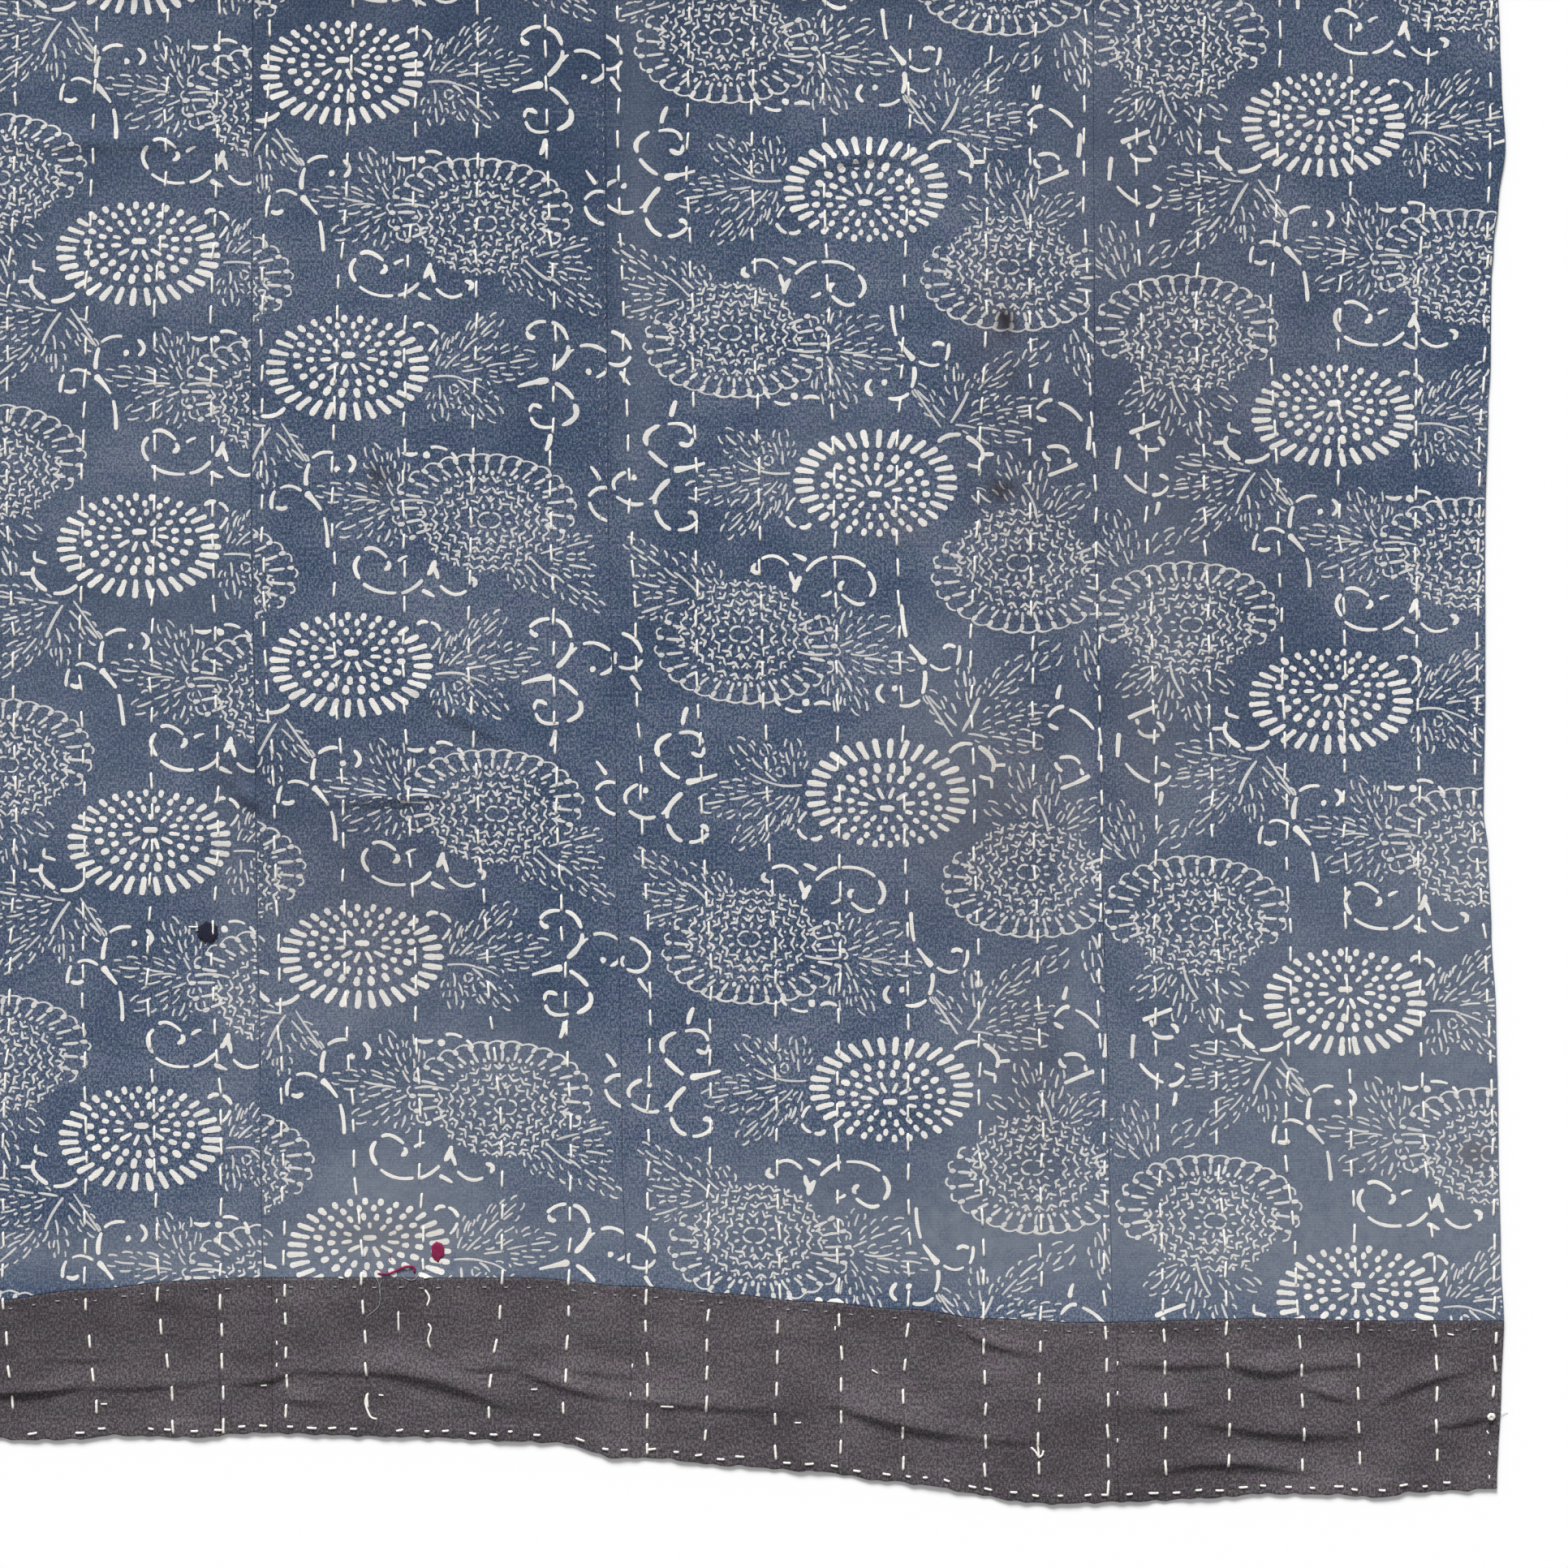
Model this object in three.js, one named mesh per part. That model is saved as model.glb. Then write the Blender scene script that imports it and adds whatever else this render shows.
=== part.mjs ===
// Sashiko embroidered cloth, lying flat: four widths of printed indigo cotton above a band
// pieced from six lengths of plain brown cotton, all quilted with rows of running stitch.
// Millimetres, +Z up. The origin is under the middle of the cloth, on the surface it lies on.
import * as THREE from 'three';

// Driving dimensions
const CLOTH_WIDTH = 975;
const CLOTH_LENGTH = 974;
const CLOTH_THICKNESS = 1.5;
const PIECE_GAP = 0.3;
const HEM_WIDTH = 7;
const HEM_RISE = 0.6;
const SEAM_WIDTH = 4;
const SEAM_RISE = 0.5;
const ROW_WIDTH = 9;
const ROW_DEPTH = 0.4;
const CREASE_CONTACT = 0.3;

// A place is given as across, from the left edge, and down, from the top edge.
const RIGHT_EDGE = named(['down', 'across'], [
  [0, 970], [36, 971.5], [63, 972.5], [104, 975], [140, 970.5], [166, 967.5], [192, 966],
  [244, 965.5], [270, 964], [348, 962], [452, 962], [530, 961], [556, 964], [608, 966],
  [660, 969], [738, 970.5], [816, 972], [857, 974], [894, 972.5], [964, 969.5],
]);
const LOWER_EDGE = named(['across', 'down'], [
  [0, 931], [23, 933], [65, 932.5], [78, 930], [135, 931.5], [172, 928.5], [270, 931],
  [348, 934], [369, 935], [406, 944.5], [426, 944.5], [478, 949.5], [530, 953], [582, 959.5],
  [608, 962.5], [634, 967.5], [660, 972], [681, 974], [738, 972.5], [790, 970], [816, 967.5],
  [868, 968], [894, 970], [915, 966.5], [946, 965.5], [970, 964],
]);
const BAND_TOP = named(['across', 'down'], [
  [0, 844.5], [64, 837], [127, 831.5], [166, 829.5], [349, 829.5], [419, 835], [473, 839.5],
  [527, 844.5], [592, 849.5], [642, 855.5], [702, 858], [827, 855.5], [900, 857], [975, 857],
]);

// Across at each station down the cloth, for the seams between the four printed widths.
const SEAMS = lines([10, 322, 530, 738, 850], [
  [172.5, 171.5, 174.5, 177.5, 179],
  [398, 400, 405.5, 409, 412],
  [711, 712, 716, 721, 723],
]);

// The same for the rows of running stitch. The first eight lines lie left of the middle.
const ROWS = lines([10, 114, 218, 322, 426, 530, 634, 738, 827, 920], [
  [21.5, 20, 15, 14.5, 18.5, 20.5, 16.5, 12.5, 12, 18.5],
  [72.5, 69.5, 65, 63.5, 61.5, 64.5, 63.5, 65.5, 64.5, 72],
  [118, 116.5, 109.5, 109.5, 107, 107.5, 105, 109.5, 111, 121],
  [151, 149, 145.5, 146, 148, 150, 146.5, 152.5, 151, 153.5],
  [183.5, 181.5, 178, 178, 180, 186, 189, 191, 192.5, 193.5],
  [236.5, 233, 226.5, 223.5, 225, 230, 231.5, 236.5, 242.5, 246],
  [277.5, 276, 269.5, 269, 269, 272.5, 276.5, 279, 282, 285.5],
  [316.5, 316, 315.5, 312.5, 310.5, 316.5, 323, 332, 332, 323.5],
  [359.5, 361, 366, 363, 365.5, 367, 372, 376.5, 375, 371.5],
  [406.5, 406.5, 410, 413.5, 418, 421.5, 427, 426, 424, 425],
  [452, 450.5, 454, 456, 457, 460, 466, 465.5, 464, 463],
  [494, 491.5, 494.5, 496.5, 498.5, 502.5, 507, 508, 510, 507.5],
  [538.5, 538, 541.5, 545, 546.5, 548, 548.5, 546.5, 548, 549],
  [593.5, 592.5, 589, 584.5, 587, 590, 592, 592, 593, 589],
  [645.5, 642.5, 642, 637.5, 632.5, 634.5, 637.5, 638, 640.5, 641.5],
  [674.5, 671, 670.5, 670.5, 672, 673, 675.5, 678.5, 677.5, 676],
  [740, 738, 742, 744.5, 748.5, 751.5, 750, 752.5, 755.5, 757.5],
  [781.5, 779, 776.5, 782, 785, 787, 790.5, 790, 795.5, 798],
  [830.5, 829, 824.5, 828.5, 832, 834.5, 837.5, 834.5, 841, 845],
  [876, 876.5, 868, 868, 872, 871.5, 873.5, 876.5, 879, 881.5],
  [926, 924, 918, 917.5, 918.5, 919.5, 920, 923, 930, 931],
  [966, 965, 961.5, 958, 957, 955, 963, 966.5, 968, 966],
]);
const ROWS_LEFT_OF_SEAM = [4, 9, 16];

// Across at the band's upper edge, for the joins between its six lengths.
const BAND_JOINS = [149, 184.5, 414.5, 547, 726.5];

// Soft ridges that the cloth lies in, each from one place to another and bowed to its side.
const CREASES = named(['across', 'down', 'endAcross', 'endDown', 'bow', 'width', 'rise'], [
  [0, 903, 60, 899, 1, 6, 1.8],
  [60, 899, 148, 894, 2, 8, 0.9],
  [39, 880, 83, 880, 1, 9, 0.7],
  [164, 896, 200, 888, 2, 7, 1.2],
  [196, 888, 343, 886, 2, 8, 1.1],
  [191, 906, 218, 908, 1, 7, 0.8],
  [248, 888, 329, 909, -4, 11, 2.2],
  [343, 888, 405, 906, 2, 8, 1.3],
  [365, 886, 413, 891, 1, 7, 0.8],
  [405, 906, 519, 914, 1, 9, 1.1],
  [548, 911, 629, 930, 2, 11, 2.2],
  [629, 930, 676, 933, 1, 9, 1],
  [627, 863, 669, 877, 2, 7, 1.3],
  [733, 883, 797, 883, 2, 8, 1.2],
  [797, 883, 845, 886, 4, 9, 2],
  [842, 885, 884, 883, 1, 8, 1],
  [848, 899, 874, 907, 1, 7, 1.2],
  [897, 908, 948, 890, -3, 7, 1.3],
  [742, 912, 780, 912, 1, 8, 1],
  [780, 921, 878, 929, 3, 10, 1.6],
  [757, 952, 842, 953, -5, 8, 1.6],
  [923, 925, 967, 917, 1, 7, 1.2],
  [160, 512, 177, 528, 2, 9, 2],
  [220, 524, 296, 520.5, 1, 7, 1.2],
  [279, 454, 335, 486, 2, 7, 1.2],
  [539, 117.5, 586, 111, -2, 7, 1],
  [10, 103, 172, 102, 1, 9, 0.7],
]);

// Slow swells of the whole cloth: length of each across and down, and its rise.
const SWELLS = named(['across', 'down', 'rise'], [
  [95, 140, 0.16], [-62, 88, 0.12], [38, -57, 0.08],
]);

// Where the cross-sections lie: down the printed widths, and down the band as shares of it.
const PANEL_SECTIONS = [
  0, 7, 55, 93, 102, 111, 120, 165, 215, 265, 315, 365, 410, 448, 460, 472, 484, 500, 511,
  521, 531, 545, 600, 655, 710, 765, 810,
];
const BAND_SECTIONS = [0, 0.06, 0.14, 0.23, 0.32, 0.41, 0.5, 0.58, 0.66, 0.75, 0.84, 0.93, 1];
const COLUMN_SPACING = 25;

const INDIGO = new THREE.MeshStandardMaterial({ color: 0x46566f, roughness: 0.95, metalness: 0 });
const BROWN = new THREE.MeshStandardMaterial({ color: 0x534c50, roughness: 0.95, metalness: 0 });

function named(columns, table) {
  return table.map((row) => Object.fromEntries(columns.map((column, i) => [column, row[i]])));
}

function lines(stations, table) {
  return table.map((row) => row.map((across, i) => ({ down: stations[i], across })));
}

// The value of a table at a place between two of its rows, eased so that no corner shows.
function follow(table, key, value, place) {
  const next = table.findIndex((row) => row[key] >= place);
  if (next <= 0) return table.at(next)[value];
  const [before, after] = [table[next - 1], table[next]];
  const share = THREE.MathUtils.smoothstep(place, before[key], after[key]);
  return THREE.MathUtils.lerp(before[value], after[value], share);
}

const rightEdge = (down) => follow(RIGHT_EDGE, 'down', 'across', down);
const lowerEdge = (across) => follow(LOWER_EDGE, 'across', 'down', across);
const bandTop = (across) => follow(BAND_TOP, 'across', 'down', across);
const alongLine = (line) => (down) => follow(line, 'down', 'across', down);
const softBump = (distance, width) => Math.exp(-((distance / width) ** 2));

// Guides run from the top of the cloth to its foot, and every column keeps its share of the
// way between the same two guides, so that columns never cross.
const rowGuides = ROWS.map(alongLine);
const seamGuides = SEAMS.map(alongLine);
const guides = [() => 0, () => HEM_WIDTH];
rowGuides.forEach((row, i) => {
  guides.push(row);
  const seam = ROWS_LEFT_OF_SEAM.indexOf(i + 1);
  if (seam >= 0) guides.push(seamGuides[seam]);
});
guides.push(rightEdge);

const columnAt = (guide, share) => ({
  across: (down) => THREE.MathUtils.lerp(guides[guide](down), guides[guide + 1](down), share),
});

// A column for each guide, one midway where two guides lie far apart, and one for each join.
function makeColumns() {
  const midBand = (bandTop(0) + bandTop(CLOTH_WIDTH)) / 2;
  const columns = [];
  for (let guide = 0; guide < guides.length - 1; guide += 1) {
    const [left, right] = [guides[guide](midBand), guides[guide + 1](midBand)];
    const shares = new Set(right - left > COLUMN_SPACING ? [0, 0.5] : [0]);
    for (const join of BAND_JOINS) {
      if (join > left && join < right) shares.add((join - left) / (right - left));
    }
    for (const share of [...shares].sort()) columns.push(columnAt(guide, share));
  }
  columns.push(columnAt(guides.length - 2, 1));
  return columns;
}

// How far the creases lift the cloth off the surface: each is a bump across a bowed line that
// fades towards both its ends.
function creaseLift(across, down) {
  let lift = 0;
  for (const crease of CREASES) {
    const along = new THREE.Vector2(crease.endAcross - crease.across, crease.endDown - crease.down);
    const toPlace = new THREE.Vector2(across - crease.across, down - crease.down);
    const share = toPlace.dot(along) / along.lengthSq();
    const aside = toPlace.cross(along) / along.length();
    const inside = THREE.MathUtils.clamp(share, 0, 1);
    const beyond = (share - inside) * along.length();
    const bowed = aside + crease.bow * 4 * inside * (1 - inside);
    const fade = softBump(beyond, crease.width) * (0.4 + 0.6 * Math.sin(Math.PI * inside));
    lift = Math.max(lift, crease.rise * fade * softBump(bowed, crease.width));
  }
  return lift;
}

// Height of the upper face: the layers, hems, seam ridges, stitched furrows and slow swells.
function upperHeight(across, down) {
  let height = CLOTH_THICKNESS + creaseLift(across, down);
  const toEdge = Math.min(across, down, rightEdge(down) - across, lowerEdge(across) - down);
  height += HEM_RISE * (1 - THREE.MathUtils.smoothstep(toEdge, HEM_WIDTH, 2 * HEM_WIDTH));
  height += SEAM_RISE * softBump(bandTop(across) - down, SEAM_WIDTH);
  if (down < bandTop(across)) {
    for (const seam of seamGuides) height += SEAM_RISE * softBump(seam(down) - across, SEAM_WIDTH);
  }
  for (const row of rowGuides) height -= ROW_DEPTH * softBump(row(down) - across, ROW_WIDTH);
  for (const swell of SWELLS) {
    height += swell.rise * Math.sin(2 * Math.PI * (across / swell.across + down / swell.down));
  }
  return height;
}

const lowerHeight = (across, down) => Math.max(0, creaseLift(across, down) - CREASE_CONTACT);

// One piece of cloth: an upper and a lower face on the same grid, closed by a wall round it.
// places[column][section] holds across and down.
function clothSolid(places) {
  const columns = places.length;
  const sections = places[0].length;
  const positions = [];
  for (const height of [upperHeight, lowerHeight]) {
    for (const place of places.flat()) {
      const [across, down] = place;
      positions.push(across - CLOTH_WIDTH / 2, CLOTH_LENGTH / 2 - down, height(across, down));
    }
  }
  const upper = (column, section) => column * sections + section;
  const toLower = columns * sections;
  const triangles = [];
  const quad = (a, b, c, d) => triangles.push(a, b, c, a, c, d);
  for (let c = 0; c < columns - 1; c += 1) {
    for (let s = 0; s < sections - 1; s += 1) {
      const corners = [upper(c, s), upper(c, s + 1), upper(c + 1, s + 1), upper(c + 1, s)];
      quad(...corners);
      quad(...corners.toReversed().map((corner) => corner + toLower));
    }
  }
  const rim = [];
  for (let s = 0; s < sections - 1; s += 1) rim.push(upper(0, s));
  for (let c = 0; c < columns - 1; c += 1) rim.push(upper(c, sections - 1));
  for (let s = sections - 1; s > 0; s -= 1) rim.push(upper(columns - 1, s));
  for (let c = columns - 1; c > 0; c -= 1) rim.push(upper(c, 0));
  rim.forEach((corner, i) => {
    const next = rim[(i + 1) % rim.length];
    quad(corner, corner + toLower, next + toLower, next);
  });
  const geometry = new THREE.BufferGeometry();
  geometry.setAttribute('position', new THREE.Float32BufferAttribute(positions, 3));
  geometry.setIndex(triangles);
  geometry.computeVertexNormals();
  return geometry;
}

// The piece between two columns, drawn in by half a gap where it meets its neighbours.
function cutPiece(name, material, columns, first, last, downAt) {
  const lastColumn = columns.length - 1;
  const places = columns.slice(first, last + 1).map((column, i, cut) => {
    let inset = 0;
    if (i === 0 && first > 0) inset = PIECE_GAP / 2;
    if (i === cut.length - 1 && last < lastColumn) inset = -PIECE_GAP / 2;
    return downAt(column).map((down) => [column.across(down) + inset, down]);
  });
  const mesh = new THREE.Mesh(clothSolid(places), material);
  mesh.name = name;
  return mesh;
}

function panelDowns(column) {
  const foot = bandTop(column.across(bandTop(CLOTH_WIDTH / 2))) - PIECE_GAP / 2;
  return [...PANEL_SECTIONS, foot - HEM_WIDTH, foot];
}

function bandDowns(column) {
  const head = bandTop(column.across(bandTop(CLOTH_WIDTH / 2))) + PIECE_GAP / 2;
  const foot = lowerEdge(column.across(CLOTH_LENGTH));
  return BAND_SECTIONS.map((share) => THREE.MathUtils.lerp(head, foot, share));
}

// The column nearest to a place across, at the height of the band's upper edge.
function nearestColumn(columns, across) {
  const distances = columns.map((column) => {
    return Math.abs(column.across(bandTop(across)) - across);
  });
  return distances.indexOf(Math.min(...distances));
}

const columns = makeColumns();
const cloth = new THREE.Group();
const addPieces = (prefix, borders, material, downAt) => {
  const cuts = [0, ...borders.map((across) => nearestColumn(columns, across)), columns.length - 1];
  for (let i = 0; i < cuts.length - 1; i += 1) {
    const name = `${prefix}_${i + 1}`;
    cloth.add(cutPiece(name, material, columns, cuts[i], cuts[i + 1], downAt));
  }
};
const seamFeet = SEAMS.map((seam) => seam.at(-1).across);
addPieces('printed_width', seamFeet, INDIGO, panelDowns);
addPieces('band_length', BAND_JOINS, BROWN, bandDowns);

export default cloth;
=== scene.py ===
"""Sashiko embroidered cloth: its cotton, resist print, running stitch, mends and studio.

Sizes in the tables are millimetres. A place on the cloth is across, from its left edge, and
down, from its top edge, as in the part's own source.
"""

import math
from functools import cached_property, partial

import bpy
import numpy as np
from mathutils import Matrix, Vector


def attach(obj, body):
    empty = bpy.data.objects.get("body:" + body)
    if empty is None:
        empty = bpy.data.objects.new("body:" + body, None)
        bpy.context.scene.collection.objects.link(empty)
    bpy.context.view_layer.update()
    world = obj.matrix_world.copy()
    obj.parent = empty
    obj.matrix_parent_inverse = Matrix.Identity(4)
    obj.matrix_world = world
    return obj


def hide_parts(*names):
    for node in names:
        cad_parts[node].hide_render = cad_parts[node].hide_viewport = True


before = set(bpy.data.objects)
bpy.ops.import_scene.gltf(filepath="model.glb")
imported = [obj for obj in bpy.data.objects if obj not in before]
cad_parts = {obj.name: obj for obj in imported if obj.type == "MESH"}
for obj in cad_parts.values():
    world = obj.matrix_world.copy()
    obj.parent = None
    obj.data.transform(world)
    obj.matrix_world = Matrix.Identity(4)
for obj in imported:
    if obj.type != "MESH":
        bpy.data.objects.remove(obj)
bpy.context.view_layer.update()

bl_info = {
    "name": "Sashiko cloth",
    "version": (1, 0, 0),
    "blender": (4, 5, 0),
    "location": "View3D > Sidebar > Sashiko",
    "description": "Builds a quilted and printed cotton cloth and the studio that it lies in",
    "category": "Object",
}

MM = 0.001
SEED = 2207


def table(columns, *rows):
    """A table of numbers as one array for each named column."""
    return dict(zip(columns.split(), np.array(rows, float).T))


def rows_of(listed):
    """The rows of a table."""
    return zip(*listed.values())


# The cloth's outline, seams, stitched rows and creases, as in the part's source.
CLOTH_WIDTH, CLOTH_LENGTH = 975, 974
RIGHT_EDGE = table(
    "down across",
    (0, 970), (36, 971.5), (63, 972.5), (104, 975), (140, 970.5), (166, 967.5), (192, 966),
    (244, 965.5), (270, 964), (348, 962), (452, 962), (530, 961), (556, 964), (608, 966),
    (660, 969), (738, 970.5), (816, 972), (857, 974), (894, 972.5), (964, 969.5),
)
LOWER_EDGE = table(
    "across down",
    (0, 931), (23, 933), (65, 932.5), (78, 930), (135, 931.5), (172, 928.5), (270, 931),
    (348, 934), (369, 935), (406, 944.5), (426, 944.5), (478, 949.5), (530, 953), (582, 959.5),
    (608, 962.5), (634, 967.5), (660, 972), (681, 974), (738, 972.5), (790, 970),
    (816, 967.5), (868, 968), (894, 970), (915, 966.5), (946, 965.5), (970, 964),
)
BAND_TOP = table(
    "across down",
    (0, 844.5), (64, 837), (127, 831.5), (166, 829.5), (349, 829.5), (419, 835), (473, 839.5),
    (527, 844.5), (592, 849.5), (642, 855.5), (702, 858), (827, 855.5), (900, 857), (975, 857),
)
SEAM_DOWNS = (10, 322, 530, 738, 850)
SEAMS = (
    (172.5, 171.5, 174.5, 177.5, 179),
    (398, 400, 405.5, 409, 412),
    (711, 712, 716, 721, 723),
)
ROW_DOWNS = (10, 114, 218, 322, 426, 530, 634, 738, 827, 920)
ROWS = (
    (21.5, 20, 15, 14.5, 18.5, 20.5, 16.5, 12.5, 12, 18.5),
    (72.5, 69.5, 65, 63.5, 61.5, 64.5, 63.5, 65.5, 64.5, 72),
    (118, 116.5, 109.5, 109.5, 107, 107.5, 105, 109.5, 111, 121),
    (151, 149, 145.5, 146, 148, 150, 146.5, 152.5, 151, 153.5),
    (183.5, 181.5, 178, 178, 180, 186, 189, 191, 192.5, 193.5),
    (236.5, 233, 226.5, 223.5, 225, 230, 231.5, 236.5, 242.5, 246),
    (277.5, 276, 269.5, 269, 269, 272.5, 276.5, 279, 282, 285.5),
    (316.5, 316, 315.5, 312.5, 310.5, 316.5, 323, 332, 332, 323.5),
    (359.5, 361, 366, 363, 365.5, 367, 372, 376.5, 375, 371.5),
    (406.5, 406.5, 410, 413.5, 418, 421.5, 427, 426, 424, 425),
    (452, 450.5, 454, 456, 457, 460, 466, 465.5, 464, 463),
    (494, 491.5, 494.5, 496.5, 498.5, 502.5, 507, 508, 510, 507.5),
    (538.5, 538, 541.5, 545, 546.5, 548, 548.5, 546.5, 548, 549),
    (593.5, 592.5, 589, 584.5, 587, 590, 592, 592, 593, 589),
    (645.5, 642.5, 642, 637.5, 632.5, 634.5, 637.5, 638, 640.5, 641.5),
    (674.5, 671, 670.5, 670.5, 672, 673, 675.5, 678.5, 677.5, 676),
    (740, 738, 742, 744.5, 748.5, 751.5, 750, 752.5, 755.5, 757.5),
    (781.5, 779, 776.5, 782, 785, 787, 790.5, 790, 795.5, 798),
    (830.5, 829, 824.5, 828.5, 832, 834.5, 837.5, 834.5, 841, 845),
    (876, 876.5, 868, 868, 872, 871.5, 873.5, 876.5, 879, 881.5),
    (926, 924, 918, 917.5, 918.5, 919.5, 920, 923, 930, 931),
    (966, 965, 961.5, 958, 957, 955, 963, 966.5, 968, 966),
)
SEAM_ROW = (706, 704.5, 707, 712, 714, 716.5, 714.5, 717.5, 718, 720.5)
ROWS_LEFT_OF_SEAM = (4, 9, 16)
ROW_FEET = {6: 834, 21: 862}
PITCH_WAVER, PLACE_WAVER, LEAN_WAVER, LENGTH_WAVER = 0.07, 0.35, 0.05, 0.1
BAND_JOINS = (149, 184.5, 414.5, 547, 726.5)
HEM_LINE = 7
PRINTED_SPAN = dict(head=0, length=850, middle=400)
BAND_SPAN = dict(head=840, length=110, middle=890)
CREASES = table(
    "across down end_across end_down bow width rise",
    (0, 903, 60, 899, 1, 6, 1.8),
    (60, 899, 148, 894, 2, 8, 0.9),
    (39, 880, 83, 880, 1, 9, 0.7),
    (164, 896, 200, 888, 2, 7, 1.2),
    (196, 888, 343, 886, 2, 8, 1.1),
    (191, 906, 218, 908, 1, 7, 0.8),
    (248, 888, 329, 909, -4, 11, 2.2),
    (343, 888, 405, 906, 2, 8, 1.3),
    (365, 886, 413, 891, 1, 7, 0.8),
    (405, 906, 519, 914, 1, 9, 1.1),
    (548, 911, 629, 930, 2, 11, 2.2),
    (629, 930, 676, 933, 1, 9, 1),
    (627, 863, 669, 877, 2, 7, 1.3),
    (733, 883, 797, 883, 2, 8, 1.2),
    (797, 883, 845, 886, 4, 9, 2),
    (842, 885, 884, 883, 1, 8, 1),
    (848, 899, 874, 907, 1, 7, 1.2),
    (897, 908, 948, 890, -3, 7, 1.3),
    (742, 912, 780, 912, 1, 8, 1),
    (780, 921, 878, 929, 3, 10, 1.6),
    (757, 952, 842, 953, -5, 8, 1.6),
    (923, 925, 967, 917, 1, 7, 1.2),
    (160, 512, 177, 528, 2, 9, 2),
    (220, 524, 296, 520.5, 1, 7, 1.2),
    (279, 454, 335, 486, 2, 7, 1.2),
    (539, 117.5, 586, 111, -2, 7, 1),
    (10, 103, 172, 102, 1, 9, 0.7),
)
SWELLS = table("across down rise", (95, 140, 0.16), (-62, 88, 0.12), (38, -57, 0.08))
RIPPLES = table("period turn rise", (14.8, 0.4, 0.38), (23.7, 1.3, 0.26), (8.9, 2.2, 0.16))

# How wide seams' ridges, rows' furrows and stitches' puckers are, and how the back stays down.
RIDGE_WIDTH, FURROW_WIDTH, PUCKER_WIDTH, PUCKER_RISE = 4, 9, 7, 0.12
ROW_TURN = 0.37
BACK_CLEARANCE = 0.3

# A sheet's grid: its first lines in from an edge, where its even part starts, and the rounding.
RIM_STEPS, RIM_WIDTH = (0, 0.5, 1.4), 3
RIM_DROP, SECOND_DROP = 0.28, 0.08

# Short stitches that stand by themselves, with their angle from straight down in degrees.
SHORT_STITCHES = table(
    "across down angle length",
    (77, 910, 90, 3.6), (179.4, 898, 92, 3.6), (254.6, 904.3, 84, 2.6), (352.6, 900.6, 90, 3.6),
    (437.8, 911.6, 88, 8.3), (571, 889.2, 60, 4.2), (521.6, 922, 90, 3.6), (940, 865.5, 78, 3.6),
    (187.7, 844, 0, 2.1), (187.7, 871, 4, 2.1), (187.7, 885, -3, 2.1), (415.5, 885.6, 0, 2.1),
    (414.4, 903.8, 5, 2.1), (545.5, 861.6, 0, 2.1), (726.4, 884, 0, 2.1), (726.4, 903.2, -5, 2.1),
    (726.4, 933.4, 0, 2.1), (963.6, 928.2, 30, 1.8), (964.9, 941.7, 20, 1.9),
    (964.6, 956.8, 0, 1.8), (134.2, 604.3, 88, 5.8), (228.8, 829, 80, 2.6), (283.4, 829, 95, 2.6),
)
EDGE_STITCHES = table(
    "across down angle length", (968.9, 867.6, -2, 6.8), (968.2, 884.2, 7, 10),
    (967.2, 902.1, -5, 7),
)
CURVED_STITCHES = (
    ((265.6, 850.7), (265.7, 857), (265.8, 863.2)),
    ((282.7, 836.9), (285.4, 841.9), (283.9, 847.3)),
    ((284.7, 858.5), (286.5, 861.9), (284.7, 868.4), (286.1, 874.1)),
    ((246.3, 902.7), (244.4, 908.8), (246.5, 915.7), (248.6, 918.6), (251.9, 919.6)),
    ((676, 944.3), (673.9, 940.7), (671.1, 937.9)),
    ((676, 944.3), (675.8, 940.2), (675.3, 936.4)),
    ((676, 944.3), (678.1, 942.8), (679, 940)),
)
LOOSE_THREADS = (
    ((250.1, 826.8), (253.5, 834.1), (253.5, 846), (249.6, 850.7), (244.4, 854.4)),
    ((255, 830.3), (253.9, 834), (253.5, 840.3)), ((252.5, 829.5), (249.2, 827.8), (247.5, 824.5)),
    ((266.7, 824.5), (270, 829.5), (275.8, 830.3), (279.1, 826.2)),
    ((267.5, 822), (272.5, 821.2), (277.5, 823.7), (279.1, 827.8)),
    ((293.5, 818.6), (292.6, 821.4), (294.4, 823.5)),
)
MAGENTA_THREAD = ((252.2, 826.5), (260, 826.3), (267.8, 822.9), (275.1, 822.1), (275.9, 826.3))
MAGENTA_PATCH = dict(across=290.7, down=812.2, half_across=3.9, half_down=6.1)
NAVY_DARN = dict(across=143.5, down=607.9, half_across=6.2, half_down=6.2)
KNOT = (965.6, 917.8)
KNOT_TAIL = ((967.2, 917.3), (971.9, 915.7), (976.6, 915.2))
MAGENTA_BIT = dict(across=260.5, down=815.9, turn=0.1, length=4.2)
HEM_ROW = dict(pitch=14.6, length=3.9)
UPPER_ROW = dict(inward=5.8, pitch=13.8, length=2.2)
OLD_ROWS = dict(number=1, head=66, foot=350, pitch=8.6, length=2.2)
OLD_ROWS_BESIDE = (-5.4, -1.4)

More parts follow.
